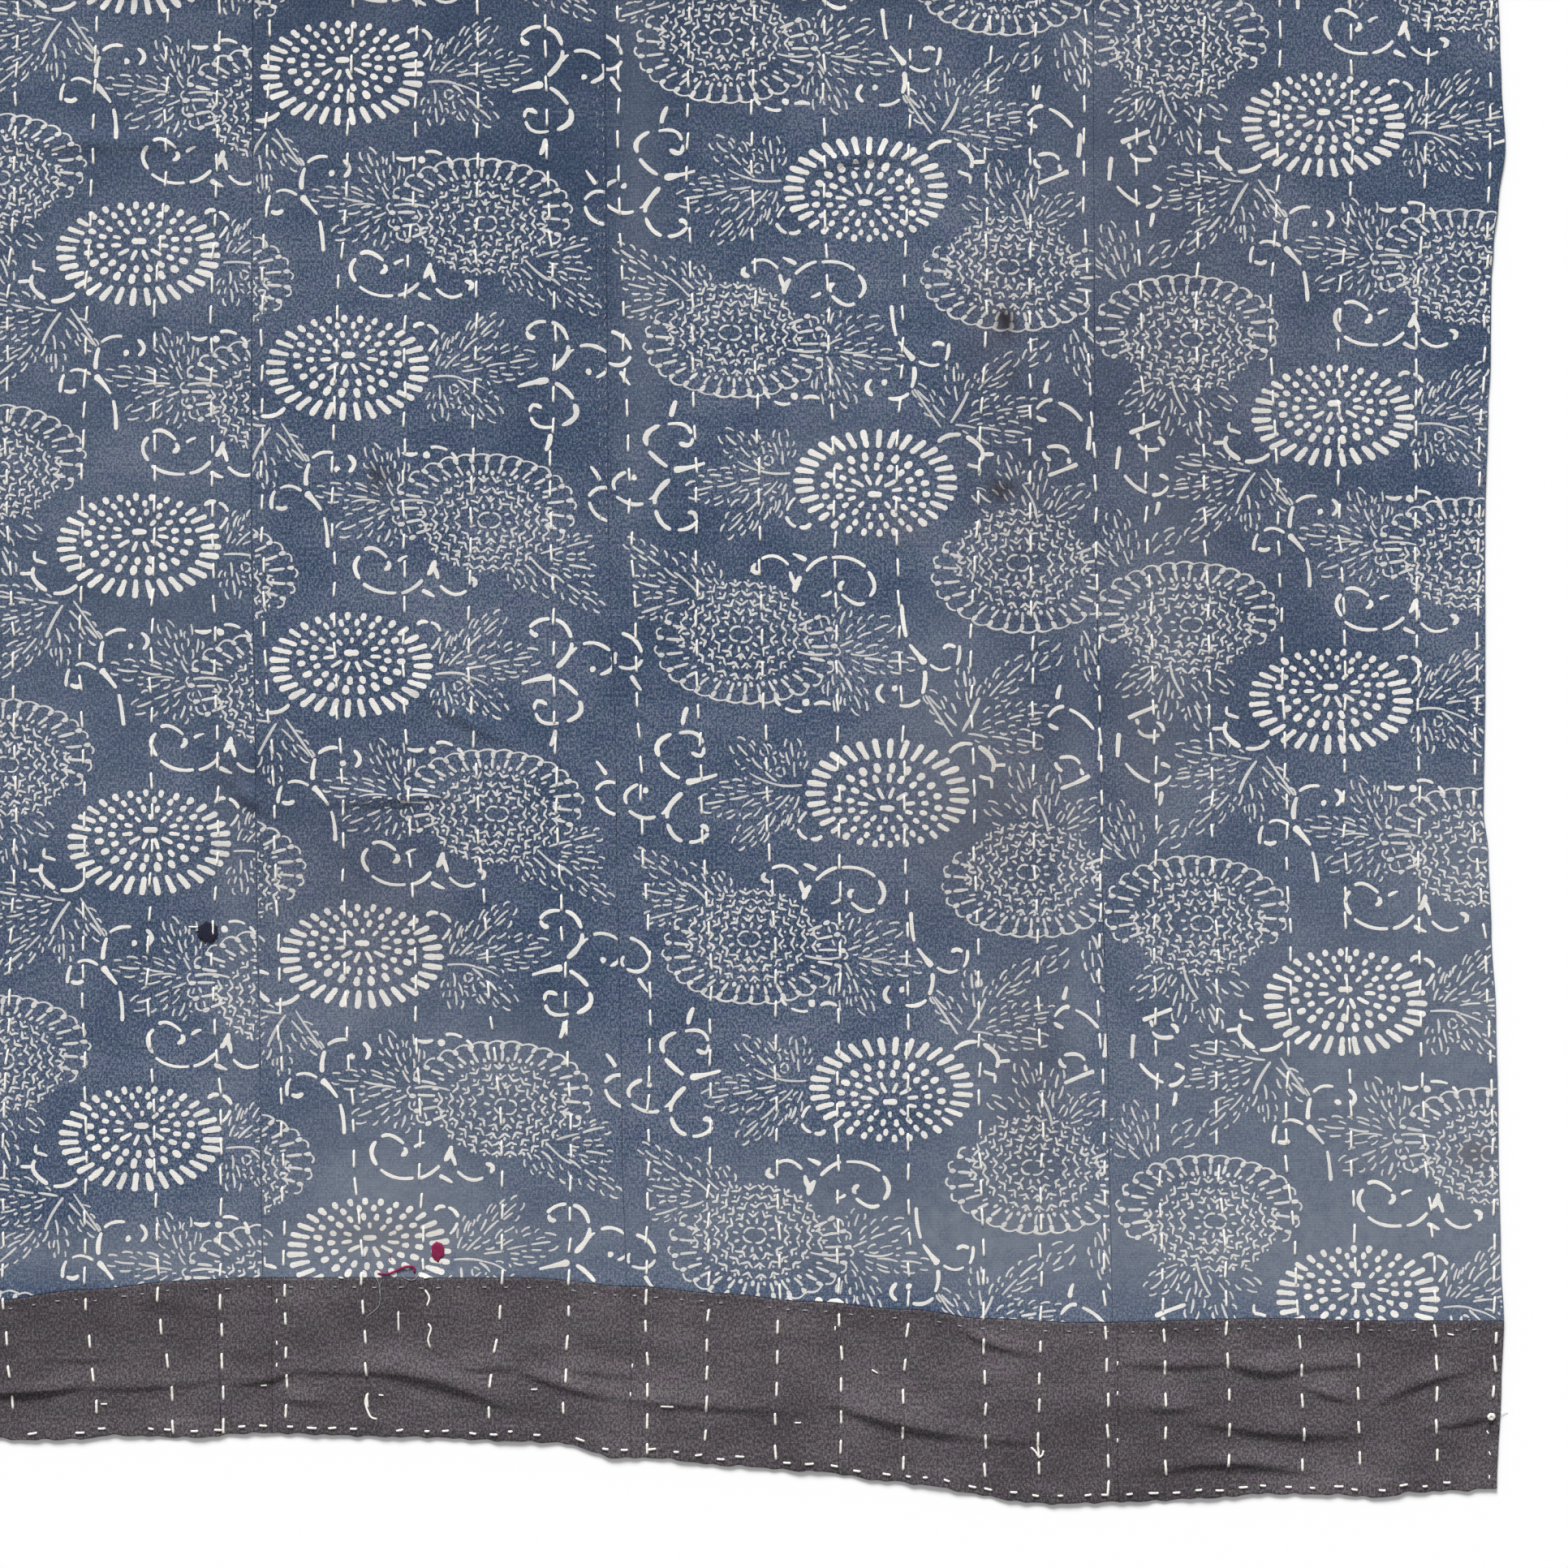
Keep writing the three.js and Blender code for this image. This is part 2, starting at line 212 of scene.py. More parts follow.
# Where each width's print stands: 1 or -1 as it runs down or up the width, and the middle of each
# dotted flower, going down the width.
STENCIL_UNIT = 0.52
STENCIL_REPEAT = 362
STROKE_WIDTH_SHARE = 0.76
CUSP_WIDTHS = (4.4, 3.7, 2)
EDGE_WAVER, PLACE_SHAKE, PASTE_SHAKE = (0.86, 1.12), 0.35, 0.05
LENGTH_CLASSES = ((0, 3.2, 6), (3.2, 9, 7), (9, 99, 10))
CREST_RISE, LEAST_SHARE, LEAST_AREA = 0.04, 0.12, 1e-11
PASTE_SHARES = dict(bold=0.98, fine=0.76, leaves=0.7)
PRINTS = (
    (1, table("across down", (98.8, -21.3), (98.3, 165.4), (98.3, 352), (105.6, 542.4),
              (99.8, 732.2))),
    (1, table("across down", (228.8, 49.4), (232.4, 238.2), (234.5, 429), (241.3, 615.2),
              (246, 803.9))),
    (-1, table("across down", (565.8, 139.9), (572, 326.6), (579.8, 527.8), (581.9, 716))),
    (1, table("across down", (857.5, 82.7), (864.2, 269.4), (862.2, 450.8), (871.5, 644.8),
              (879.8, 834.6))),
)

# The scrolls between the flowers, charted in stencil units from the dotted flower's middle: each
# stroke's start, middle and end, across and down, and its width at the three.
STROKE_COLUMNS = "start_u start_v middle_u middle_v end_u end_v start_w middle_w end_w"
SCROLLS = table(
    STROKE_COLUMNS,
    (-83, 162, -71, 159, -57, 165, 4, 5, 5), (-90, 165, -94, 175, -95, 187, 4, 6, 5),
    (-90, 184, -82, 187, -75, 183, 7, 7, 8), (-52, 166, -43, 176, -33, 189, 13, 7, 5),
    (-51, 158, -51, 145, -47, 131, 8, 7, 6), (-44, 125, -32, 118, -18, 118, 5, 6, 5),
    (0, 121, 8, 131, 1, 142, 6, 7, 6), (-17, 137, -14, 138, -11, 140, 10, 11, 10),
    (-30, 196, -27, 214, -26, 234, 5, 6, 7),
    (14, 243, 7, 256, 14, 272, 6, 7, 6), (19, 237, 32, 235, 48, 246, 6, 6, 5),
    (47, 250, 50, 256, 43, 261, 6, 8, 8), (17, 277, 36, 287, 59, 288, 5, 5, 5),
    (64, 288, 78, 283, 91, 272, 5, 6, 6), (105, 248, 104, 256, 97, 267, 5, 10, 6),
    (104, 256, 108, 264, 110, 273, 8, 7, 5), (60, 250, 66, 246, 73, 244, 6, 5, 3),
    (90, 285, 97, 289, 106, 293, 7, 7, 3), (112, 279, 128, 290, 145, 286, 5, 5, 5),
    (152, 282, 156, 274, 147, 270, 7, 8, 8),
    (83, -34, 89, -39, 97, -38, 7, 7, 6), (100, -38, 108, -34, 112, -26, 5, 6, 6),
    (111, -20, 107, -12, 101, -5, 5, 5, 4),
    (-128, 33, -121, 34, -113, 37, 6, 6, 5), (-127, 33, -128, 28, -127, 22, 5, 5, 4),
    (-147, 49, -138, 49, -130, 48, 6, 6, 5), (-129, 41, -130, 56, -113, 71, 7, 7, 9),
    (-107, 73, -90, 72, -77, 63, 6, 7, 6),
    (66, 118, 77, 121, 87, 118, 4, 7, 4), (93, 119, 97, 121, 101, 124, 10, 12, 9),
    (102, 112, 112, 111, 123, 115, 5, 5, 4), (128, 118, 132, 122, 136, 128, 5, 5, 4),
    (222, -31, 233, -40, 247, -42, 6, 6, 6), (223, -30, 226, -23, 233, -23, 5, 8, 9),
    (254, -41, 266, -34, 273, -19, 6, 7, 6), (273, -13, 270, 1, 254, 18, 6, 8, 9),
    (271, 1, 275, -4, 281, -7, 8, 6, 3), (287, -11, 304, -12, 321, -3, 5, 6, 5),
    (322, 4, 323, 17, 307, 27, 5, 7, 6), (296, 17, 299, 20, 301, 22, 9, 10, 9),
    (210, 38, 228, 33, 249, 29, 5, 7, 15), (256, 33, 268, 41, 279, 53, 6, 7, 6),
    (280, 59, 281, 74, 264, 85, 7, 9, 6), (226, 74, 235, 86, 255, 86, 6, 6, 5),
    (225, 70, 229, 60, 241, 64, 6, 7, 9), (250, 95, 248, 105, 243, 116, 7, 8, 6),
    (299, 134, 306, 143, 311, 152, 4, 6, 7), (297, 171, 309, 161, 326, 163, 6, 6, 5),
    (329, 166, 331, 172, 328, 179, 5, 6, 6), (297, 178, 305, 193, 321, 201, 5, 6, 6),
    (-250, 37, -233, 30, -212, 22, 9, 6, 7), (-240, 37, -239, 41, -238, 45, 7, 6, 5),
    (-238, 50, -229, 58, -212, 57, 4, 6, 6), (-216, 42, -209, 46, -208, 53, 6, 7, 6),
    (-262, 54, -264, 68, -265, 84, 8, 7, 6), (-256, 90, -243, 104, -227, 113, 5, 6, 5),
    (-221, 116, -210, 114, -201, 104, 7, 6, 5), (-213, 91, -206, 93, -201, 97, 7, 7, 4),
    (-213, 124, -214, 133, -217, 142, 7, 7, 4),
)

# The leaves, as blades from a root to a tip, each spreading to both sides of its vein.
BLADES = table(
    "u v tip_u tip_v spread",
    (118, 18, 192, -50, 17), (138, 20, 236, 2, 19), (134, 27, 190, 78, 17),
    (114, 32, 116, 82, 12), (109, 16, 128, -28, 8), (122, 30, 152, 72, 8),
    (58, 177, -42, 164, 12), (58, 174, 26, 106, 14), (66, 172, 60, 116, 10),
    (56, 184, -16, 216, 14), (60, 187, 42, 232, 11), (64, 184, 68, 224, 8),
    (226, 248, 314, 310, 12), (232, 242, 304, 224, 11), (236, 248, 306, 262, 10),
    (214, 252, 252, 292, 10), (198, 254, 212, 284, 6),
    (-198, -36, -262, 8, 15), (-194, -34, -206, 42, 14), (-190, -34, -156, 52, 15),
    (-184, -38, -118, 4, 12),
    (-96, 86, -196, 74, 14), (-100, 92, -206, 112, 13), (-104, 104, -179, 174, 14),
    (-247, 208, -271, 134, 16), (-222, 192, -187, 161, 12), (-258, 210, -312, 152, 14),
    (-90, 92, -50, 134, 10), (-104, 112, -98, 164, 9),
)

# The middles of the two fine flowers, and the small ring's middle and its two radii.
FINE_FLOWERS = ((174, 200), (-171, -80))
SMALL_RING = (132, 41, 5.5, 6)

# The leaves' stems and veins, charted as the scrolls are.
STEMS = table(
    STROKE_COLUMNS,
    (105, 26, 126, 25, 142, 28, 3, 4, 3), (141, 28, 157, 33, 170, 40, 3, 3, 2),
    (62, 178, 84, 176, 106, 180, 4, 4, 3), (40, 177, 20, 175, 4, 179, 3, 3, 2),
    (222, 244, 240, 262, 254, 270, 3, 4, 3), (-117, 127, -108, 108, -94, 87, 4, 5, 4),
    (-82, 82, -66, 106, -50, 130, 3, 4, 3), (-196, -30, -192, -10, -180, 12, 4, 4, 3),
)


def follow(places, values, place):
    """A table's value at a place: eased between two rows as v = a + (b - a)(3t^2 - 2t^3)."""
    places, values = np.asarray(places, float), np.asarray(values, float)
    place = np.clip(place, places[0], places[-1])
    row = np.clip(np.searchsorted(places, place) - 1, 0, len(places) - 2)
    share = (place - places[row]) / (places[row + 1] - places[row])
    return values[row] + (values[row + 1] - values[row]) * share**2 * (3 - 2 * share)


def soft_bump(distance, width):
    """A bump that falls off as exp(-(distance / width)^2)."""
    return np.exp(-((distance / width) ** 2))


def smooth(low, high, value):
    """0 up to low, 1 from high on, and eased between them."""
    share = np.clip((value - low) / (high - low), 0, 1)
    return share**2 * (3 - 2 * share)


def right_edge(down):
    """The side hem's place across."""
    return follow(RIGHT_EDGE["down"], RIGHT_EDGE["across"], down)


def lower_edge(across):
    """The foot's place down, with small ripples where its stitches pull: sums of sines."""
    ripple = 0
    for period, turn, rise in rows_of(RIPPLES):
        ripple = ripple + rise * np.sin(2 * np.pi * np.asarray(across) / period + turn)
    return follow(LOWER_EDGE["across"], LOWER_EDGE["down"], across) + ripple


def band_top(across):
    """The place down where the printed widths end and the band begins."""
    return follow(BAND_TOP["across"], BAND_TOP["down"], across)


def seam_line(number, down):
    """The place across of a seam between two printed widths."""
    return follow(SEAM_DOWNS, SEAMS[number], down)


def row_line(places, down):
    """The place across of a stitched row."""
    return follow(ROW_DOWNS, places, down)


def crease_lift(across, down, steep=1.0):
    """How far the creases lift the cloth: the highest of all creases, each a soft bump across
    a bowed line, rise x exp(-(distance / width)^2) x (0.4 + 0.6 sin(pi share)). On its lower
    side the width is less by the share steep, as where a fold leans over."""
    lift = np.zeros(np.broadcast(across, down).shape)
    for x, y, end_x, end_y, bow, width, rise in rows_of(CREASES):
        length = math.hypot(end_x - x, end_y - y)
        way_x, way_y = (end_x - x) / length, (end_y - y) / length
        share = ((across - x) * way_x + (down - y) * way_y) / length
        aside = (across - x) * way_y - (down - y) * way_x
        inside = np.clip(share, 0, 1)
        bowed = aside + bow * 4 * inside * (1 - inside)
        fade = soft_bump((share - inside) * length, width) * (0.4 + 0.6 * np.sin(np.pi * inside))
        flank = np.where(bowed < 0, steep * width, width)
        lift = np.maximum(lift, rise * fade * soft_bump(bowed, flank))
    return lift


def wrinkle_lift(across, down):
    """Slow uneven wrinkles along the band: sines whose phase is bent by slower sines."""
    bend = 2.1 * np.sin(across / 61) + 1.4 * np.sin(across / 27 + down / 34)
    lift = 0.5 * np.sin(down / 4.6 + bend) + 0.3 * np.sin(down / 2.9 - across / 83 + 1.7 * bend)
    patch = 0.5 + 0.5 * np.sin(across / 39 + 1.2) * np.sin(down / 17 - across / 118)
    return lift * patch


def upper_height(across, down):
    """Height of the cloth's face: its layers and creases, hems and seams as ridges, stitched
    rows as furrows with a pucker at each stitch, and slow swells."""
    sizes = bpy.context.scene.sashiko_cloth
    creases = sizes.crease_rise * crease_lift(across, down, sizes.crease_steepness)
    height = sizes.thickness / MM + creases
    to_edge = np.minimum(
        np.minimum(across, down), np.minimum(right_edge(down) - across, lower_edge(across) - down)
    )
    hem = sizes.hem_width / MM
    height += sizes.hem_rise / MM * (1 - smooth(hem, 2 * hem, to_edge))
    to_band = band_top(across) - down
    height += sizes.seam_rise / MM * soft_bump(to_band, RIDGE_WIDTH)
    printed = smooth(-1, 1, to_band)
    wrinkles = sizes.wrinkle_rise / MM * wrinkle_lift(across, down)
    height += wrinkles * (1 - 0.8 * printed) * smooth(2, 12, to_edge) * smooth(3, 10, abs(to_band))
    for number in range(len(SEAMS)):
        aside = seam_line(number, down) - across
        height += printed * sizes.seam_rise / MM * soft_bump(aside, RIDGE_WIDTH)
    for number, places in enumerate(ROWS):
        aside = row_line(places, down) - across
        turn = 2 * np.pi * (down / sizes.stitch_pitch * MM + ROW_TURN * number)
        furrow = soft_bump(aside, FURROW_WIDTH) * (1 + 0.3 * np.cos(turn))
        height -= sizes.row_depth / MM * furrow
        height += PUCKER_RISE * soft_bump(aside, PUCKER_WIDTH) * np.sin(turn + 0.16 * aside)
    for swell_across, swell_down, rise in rows_of(SWELLS):
        height += rise * np.sin(2 * np.pi * (across / swell_across + down / swell_down))
    return height


def lower_height(across, down):
    """Height of the cloth's back: flat on the surface, and raised under the creases."""
    return np.maximum(0, crease_lift(across, down) - BACK_CLEARANCE)


def to_frame(across, down, height):
    """Places on the cloth as points in the frame, in metres."""
    across, down, height = np.broadcast_arrays(across, down, height)
    points = (across - CLOTH_WIDTH / 2, CLOTH_LENGTH / 2 - down, height)
    return np.stack(points, -1).reshape(-1, 3) * MM


def bake_map(mesh, looks_up=0.2, face_share=0.74, back_start=0.76):
    """A flat map: faces that look up fill its left three quarters, the others its right."""
    loops, faces = len(mesh.loops), len(mesh.polygons)
    corners = np.empty(loops, np.int32)
    mesh.loops.foreach_get("vertex_index", corners)
    points = np.empty(len(mesh.vertices) * 3, np.float32)
    mesh.vertices.foreach_get("co", points)
    flat = points.reshape(-1, 3)[corners, :2]
    flat = (flat - flat.min(0)) / np.maximum(np.ptp(flat, 0), 1e-6)
    normals = np.empty(faces * 3, np.float32)
    mesh.polygons.foreach_get("normal", normals)
    totals = np.empty(faces, np.int32)
    mesh.polygons.foreach_get("loop_total", totals)
    below = np.repeat(normals[2::3] <= looks_up, totals)
    back = back_start + (1 - back_start) * flat[:, 0]
    flat[:, 0] = np.where(below, back, face_share * flat[:, 0])
    mesh.uv_layers.new(name="OFBake").data.foreach_set("uv", flat.ravel())


def new_piece(name, points, faces, material, rounded=True):
    """A mesh object from points and arrays of faces, on the one body, with its finish."""
    mesh = bpy.data.meshes.new(name)
    mesh.vertices.add(len(points))
    mesh.vertices.foreach_set("co", np.asarray(points, np.float32).ravel())
    corners = np.concatenate([f.ravel() for f in faces]).astype(np.int32)
    sides = np.concatenate([np.full(len(f), f.shape[1]) for f in faces])
    mesh.loops.add(len(corners))
    mesh.loops.foreach_set("vertex_index", corners)
    mesh.polygons.add(len(sides))
    starts = np.concatenate([[0], np.cumsum(sides)[:-1]]).astype(np.int32)
    mesh.polygons.foreach_set("loop_start", starts)
    mesh.polygons.foreach_set("use_smooth", np.full(len(sides), rounded))
    mesh.update(calc_edges=True)
    bake_map(mesh)
    mesh.materials.append(material)
    piece = bpy.data.objects.new(name, mesh)
    bpy.context.scene.collection.objects.link(piece)
    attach(piece, "root")
    return piece


def add_mark(piece, name, shares):
    """A share from 0 to 1 at each of a piece's points, which its material reads by name."""
    attribute = piece.data.attributes.new(name, "FLOAT", "POINT")
    attribute.data.foreach_set("value", shares.astype(np.float32))


def spaced(length, spacing):
    """Steps from one side of a piece to the other: close at both sides, even between them."""
    count = max(2, round((length - 2 * RIM_WIDTH) / spacing))
    return np.array(RIM_STEPS), np.linspace(0, 1, count + 1)


def across_steps(left, right, steps):
    """Places from left to right by the steps of spaced()."""
    near, even = steps
    left, right = left[..., None], right[..., None]
    inner = left + RIM_WIDTH + even * (right - left - 2 * RIM_WIDTH)
    return np.concatenate([left + near, inner, right - near[::-1]], -1)


def sheet_grid(edges, span, spacing):
    """A grid of places between a length's four edges: left and right are functions of down,
    head and foot are functions of across, and three rounds settle each pair on the other."""
    left, right, head, foot = edges
    middle, long = np.array(float(span["middle"])), span["length"]
    steps = spaced(float(right(middle) - left(middle)), spacing)
    rows = across_steps(np.zeros(1), np.array([float(long)]), spaced(long, spacing))[0] / long
    down = span["head"] + rows[None] * long
    across = across_steps(left(down[0]), right(down[0]), steps).T
    for _ in range(3):
        top = head(across)
        down = top + rows[None] * (foot(across) - top)
        columns = np.arange(len(across))[:, None, None]
        places = across_steps(left(down), right(down), steps)
        across = np.take_along_axis(places, columns, -1)[..., 0]
    return across, down


def sheet_mesh(across, down):
    """A closed sheet on a grid of places: an upper face z = upper_height, a lower face
    z = lower_height on every second line of the grid, and a wall of fans between their rims."""
    columns, rows = across.shape
    ring = np.minimum(
        np.minimum(np.arange(columns), np.arange(columns)[::-1])[:, None],
        np.minimum(np.arange(rows), np.arange(rows)[::-1])[None, :],
    )
    upper = upper_height(across, down) - RIM_DROP * (ring == 0) - SECOND_DROP * (ring == 1)
    few_columns = np.unique([*range(0, columns, 2), columns - 1])
    few_rows = np.unique([*range(0, rows, 2), rows - 1])
    low_across, low_down = (a[np.ix_(few_columns, few_rows)] for a in (across, down))
    lower = lower_height(low_across, low_down)
    top = np.arange(across.size).reshape(across.shape)
    base = across.size + np.arange(low_across.size).reshape(low_across.shape)

    def quads(grid):
        corners = (grid[:-1, :-1], grid[:-1, 1:], grid[1:, 1:], grid[1:, :-1])
        return np.stack([c.ravel() for c in corners], -1)

    def round_rim(grid):
        return np.concatenate(
            [grid[0, :-1], grid[:-1, -1], grid[-1, :0:-1], grid[:0:-1, 0]]
        )

    kept = np.isin(round_rim(top), top[np.ix_(few_columns, few_rows)])
    rim, low_rim = round_rim(top), round_rim(base)
    owner = low_rim[np.cumsum(kept) - 1]
    fans = np.stack([rim, owner, np.roll(rim, -1)], -1)
    shut = np.stack([np.roll(rim[kept], -1), low_rim, np.roll(low_rim, -1)], -1)
    points = np.concatenate(
        [to_frame(across, down, upper), to_frame(low_across, low_down, lower)]
    )
    return points, [quads(top), quads(base)[:, ::-1], fans, shut]


def lay_sheet(node, edges, span, spacing, material):
    """One length of cloth between its edges: it stands for its CAD node."""
    across, down = sheet_grid(edges, span, spacing)
    points, faces = sheet_mesh(across, down)
    piece = new_piece(node + "_cloth", points, faces, material)
    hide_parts(node)
    return piece, points


def start_line(place):
    """The cloth's left edge, or its top one: 0 all along."""
    return 0 * place


def between(lines, number, gap):
    """The sides of one length of cloth: half a seam's gap inside each line but the outer two."""
    def left(down):
        return lines[number](down) + (gap if number else 0)

    def right(down):
        return lines[number + 1](down) - (gap if number + 2 < len(lines) else 0)

    return left, right


def guide_lines():
    """The lines that the part's columns run between, in order: edges, hem, rows and seams."""
    guides = [start_line, lambda down: HEM_LINE + 0 * down]
    for row, places in enumerate(ROWS, 1):
        guides.append(partial(row_line, places))
        if row in ROWS_LEFT_OF_SEAM:
            guides.append(partial(seam_line, ROWS_LEFT_OF_SEAM.index(row)))
    return [*guides, right_edge]


def join_line(join, down):
    """The place across of a join in the band: a fixed share of the way between two guides."""
    guides = guide_lines()
    middle = (band_top(0.0) + band_top(float(CLOTH_WIDTH))) / 2
    places = np.array([guide(middle) for guide in guides])
    number = int(np.searchsorted(places, join)) - 1
    share = (join - places[number]) / (places[number + 1] - places[number])
    left, right = guides[number](down), guides[number + 1](down)
    return left + share * (right - left)


# Materials


class Nodes:
    """A material's node tree, written as short calls."""

    def __init__(self, name):
        self.material = bpy.data.materials.new(name)
        self.material.use_nodes = True
        self.tree = self.material.node_tree
        self.shader = self.tree.nodes["Principled BSDF"]
        self.place = self.node("ShaderNodeTexCoord").outputs["Object"]

    @cached_property
    def cloud(self):
        """The soft cloud that makes the edges of stains and of painted shade uneven, the same for all
        of them.
        """
        return self.noise((120, 120, 0), 0.3, 0.7)

    def node(self, kind, links=(), **values):
        """A new node: its settings or unlinked inputs by name, and its linked inputs."""
        node = self.tree.nodes.new(kind)
        for key, value in values.items():
            if hasattr(node, key):
                setattr(node, key, value)
            else:
                node.inputs[key.replace("_", " ")].default_value = value
        for key, source in dict(links).items():
            self.tree.links.new(source, node.inputs[key])
        return node

    def stretched(self, scale, location):
        """The object's own coordinates, scaled and then moved."""
        mapped = self.node("ShaderNodeMapping", {"Vector": self.place})
        mapped.inputs["Scale"].default_value = scale
        mapped.inputs["Location"].default_value = location
        return mapped.outputs["Vector"]

    def noise(self, scale, low, high, detail=3.0, location=(0, 0, 0)):
        """Noise on the object's own coordinates, spread from 0 at low to 1 at high."""
        cloud = self.node(
            "ShaderNodeTexNoise", {"Vector": self.stretched(scale, location)},
            Scale=1.0, Detail=detail, Roughness=0.6,
        )
        return self.spread(cloud.outputs["Fac"], low, high)

    def spread(self, value, low, high):
        """The value's share of the way from low to high, kept from 0 to 1."""
        node = self.node("ShaderNodeMapRange", {"Value": value}, From_Min=low, From_Max=high)
        return node.outputs["Result"]

    def math(self, operation, *values):
        """One step of arithmetic on numbers and sockets."""
        node = self.node("ShaderNodeMath", operation=operation)
        for socket, value in zip(node.inputs, values):
            if isinstance(value, (int, float)):
                socket.default_value = value
            else:
                self.tree.links.new(value, socket)
        return node.outputs["Value"]

    def mix(self, share, first, second, blend="MIX"):
        """Two colours mixed by a share."""
        node = self.node("ShaderNodeMix", data_type="RGBA", blend_type=blend)
        for index, value in ((0, share), (6, first), (7, second)):
            socket = node.inputs[index]
            if isinstance(value, bpy.types.NodeSocket):
                self.tree.links.new(value, socket)
            else:
                socket.default_value = value if index == 0 else (*value, 1.0)
        return node.outputs[2]

    def spot(self, across, down, radius_across, radius_down, ragged=0.25):
        """1 inside an uneven patch round a place on the cloth, fading to 0 past its edge."""
        centre = ((across - CLOTH_WIDTH / 2) * MM, (CLOTH_LENGTH / 2 - down) * MM)
        scale = (1 / (radius_across * MM), 1 / (radius_down * MM), 0.0)
        moved = self.stretched(scale, (-centre[0] * scale[0], -centre[1] * scale[1], 0))
        length = self.node("ShaderNodeVectorMath", {0: moved}, operation="LENGTH")
        shifted = self.math("MULTIPLY_ADD", self.cloud, ragged * 2, length.outputs["Value"])
        return self.spread(shifted, 1 + ragged, ragged)

    def wave(self, direction, period):
        """Yarns side by side: bands a period apart, a little bent."""
        node = self.node(
            "ShaderNodeTexWave", {"Vector": self.place}, wave_type="BANDS",
            bands_direction=direction, Scale=math.pi / (10 * period), Distortion=1.5,
            Detail=1.0, Detail_Scale=0.35,
        )
        return node.outputs["Fac"]

    def weave(self, period, slub):
        """Height of a plain weave: warp and weft waves crossing, made uneven by slubs."""
        warp, weft = self.wave("X", period), self.wave("Y", period * 1.08)
        crossing = self.math("MULTIPLY", warp, weft)
        loose = self.noise((700, 40, 0), 0.3, 0.75)
        return self.math("MULTIPLY_ADD", loose, slub, crossing)

    def finish(self, colour, height, depth, sheen=0.0):
        """The material, matt as cotton is, with its colour and its relief."""
        bump = self.node("ShaderNodeBump", {"Height": height}, Strength=1.0, Distance=depth)
        self.tree.links.new(bump.outputs["Normal"], self.shader.inputs["Normal"])
        self.tree.links.new(colour, self.shader.inputs["Base Color"])
        self.shader.inputs["Roughness"].default_value = 0.9
        self.shader.inputs["Specular IOR Level"].default_value = 0.25
        self.shader.inputs["Sheen Weight"].default_value = sheen
        self.shader.inputs["Sheen Roughness"].default_value = 0.5
        return self.material


# Worn, deeply dyed, warm and dark places, each a round patch with its share in the middle; the dark
# places hold painted shade too.
FADES = table(
    "across down radius_across radius_down share",
    (262, 770, 95, 70, 0.75), (340, 700, 80, 60, 0.5), (80, 815, 130, 25, 0.55),
    (620, 480, 55, 130, 0.4), (640, 720, 50, 110, 0.45), (760, 430, 40, 190, 0.35),
    (545, 310, 60, 60, 0.25), (880, 800, 100, 60, 0.35), (520, 780, 120, 60, 0.3),
    (420, 160, 22, 260, 0.3), (700, 600, 14, 260, 0.4), (160, 620, 18, 200, 0.3),
    (890, 720, 170, 150, 0.5), (940, 560, 60, 70, 0.4), (450, 800, 420, 50, 0.4),
    (620, 790, 130, 60, 0.3), (240, 660, 110, 90, 0.3), (800, 815, 260, 45, 0.5),
    (640, 810, 90, 40, 0.35), (955, 660, 40, 160, 0.25), (255, 815, 150, 30, 0.7),
    (850, 700, 260, 220, 0.28), (960, 800, 90, 90, 0.4), (715, 110, 50, 150, 0.2),
    (50, 330, 130, 420, 0.16), (130, 400, 70, 110, 0.16), (740, 800, 120, 70, 0.25),
)
DEEP_DYE = table(
    "across down radius_across radius_down share",
    (250, 50, 230, 130, 0.36), (550, 20, 160, 90, 0.36), (400, 90, 90, 220, 0.2),
    (770, 130, 50, 130, 0.16), (810, 60, 160, 60, 0.15), (140, 250, 60, 60, 0.16),
    (220, 30, 80, 70, 0.3), (470, 30, 80, 80, 0.36),
)
WARM_STAINS = table(
    "across down radius_across radius_down share",
    (655, 520, 60, 80, 0.3), (672, 700, 35, 120, 0.3), (645, 210, 30, 60, 0.25),
    (740, 490, 30, 80, 0.22), (262, 610, 60, 60, 0.2), (590, 350, 22, 14, 0.3),
    (250, 800, 60, 18, 0.35), (955, 750, 18, 12, 0.6), (760, 260, 150, 330, 0.24),
    (620, 540, 110, 110, 0.2), (230, 560, 120, 90, 0.2), (660, 330, 60, 120, 0.2),
)
DARK_STAINS_AND_CREASE_SHADE = table(
    "across down radius_across radius_down share",
    (655, 213, 8, 8, 0.95), (655, 219, 10, 11, 0.8), (652, 324, 15, 10, 0.85),
    (253, 315, 13, 11, 0.65), (250, 330, 18, 12, 0.2), (658, 250, 10, 14, 0.25),
    # The patch at 160 across and 505 down is painted shade where the crease there folds, not a stain.
    (401, 831, 2.5, 2, 0.9), (849, 831, 2.5, 2, 0.8), (160, 505, 22, 14, 0.3),
)
INDIGO_YARN, BROWN_YARN = 0.0009, 0.0008
VIOLET_CAST = (1.05, 0.95, 1.05)
# The darker colour in each of these two lines tints the dark stains and also the painted shade at one
# crease.
WARM_COTTON, STAIN_AND_SHADE_COTTON = (0.115, 0.105, 0.12), (0.022, 0.018, 0.022)
WARM_CREAM, STAIN_AND_SHADE_CREAM = (0.3, 0.26, 0.22), (0.05, 0.04, 0.04)
WHITE_SHADE, OLD_SHADE = (0.8, 0.77, 0.7), (0.17, 0.19, 0.24)
NAVY_SHADE, MAGENTA_SHADE = (0.006, 0.007, 0.016), (0.14, 0.006, 0.045)


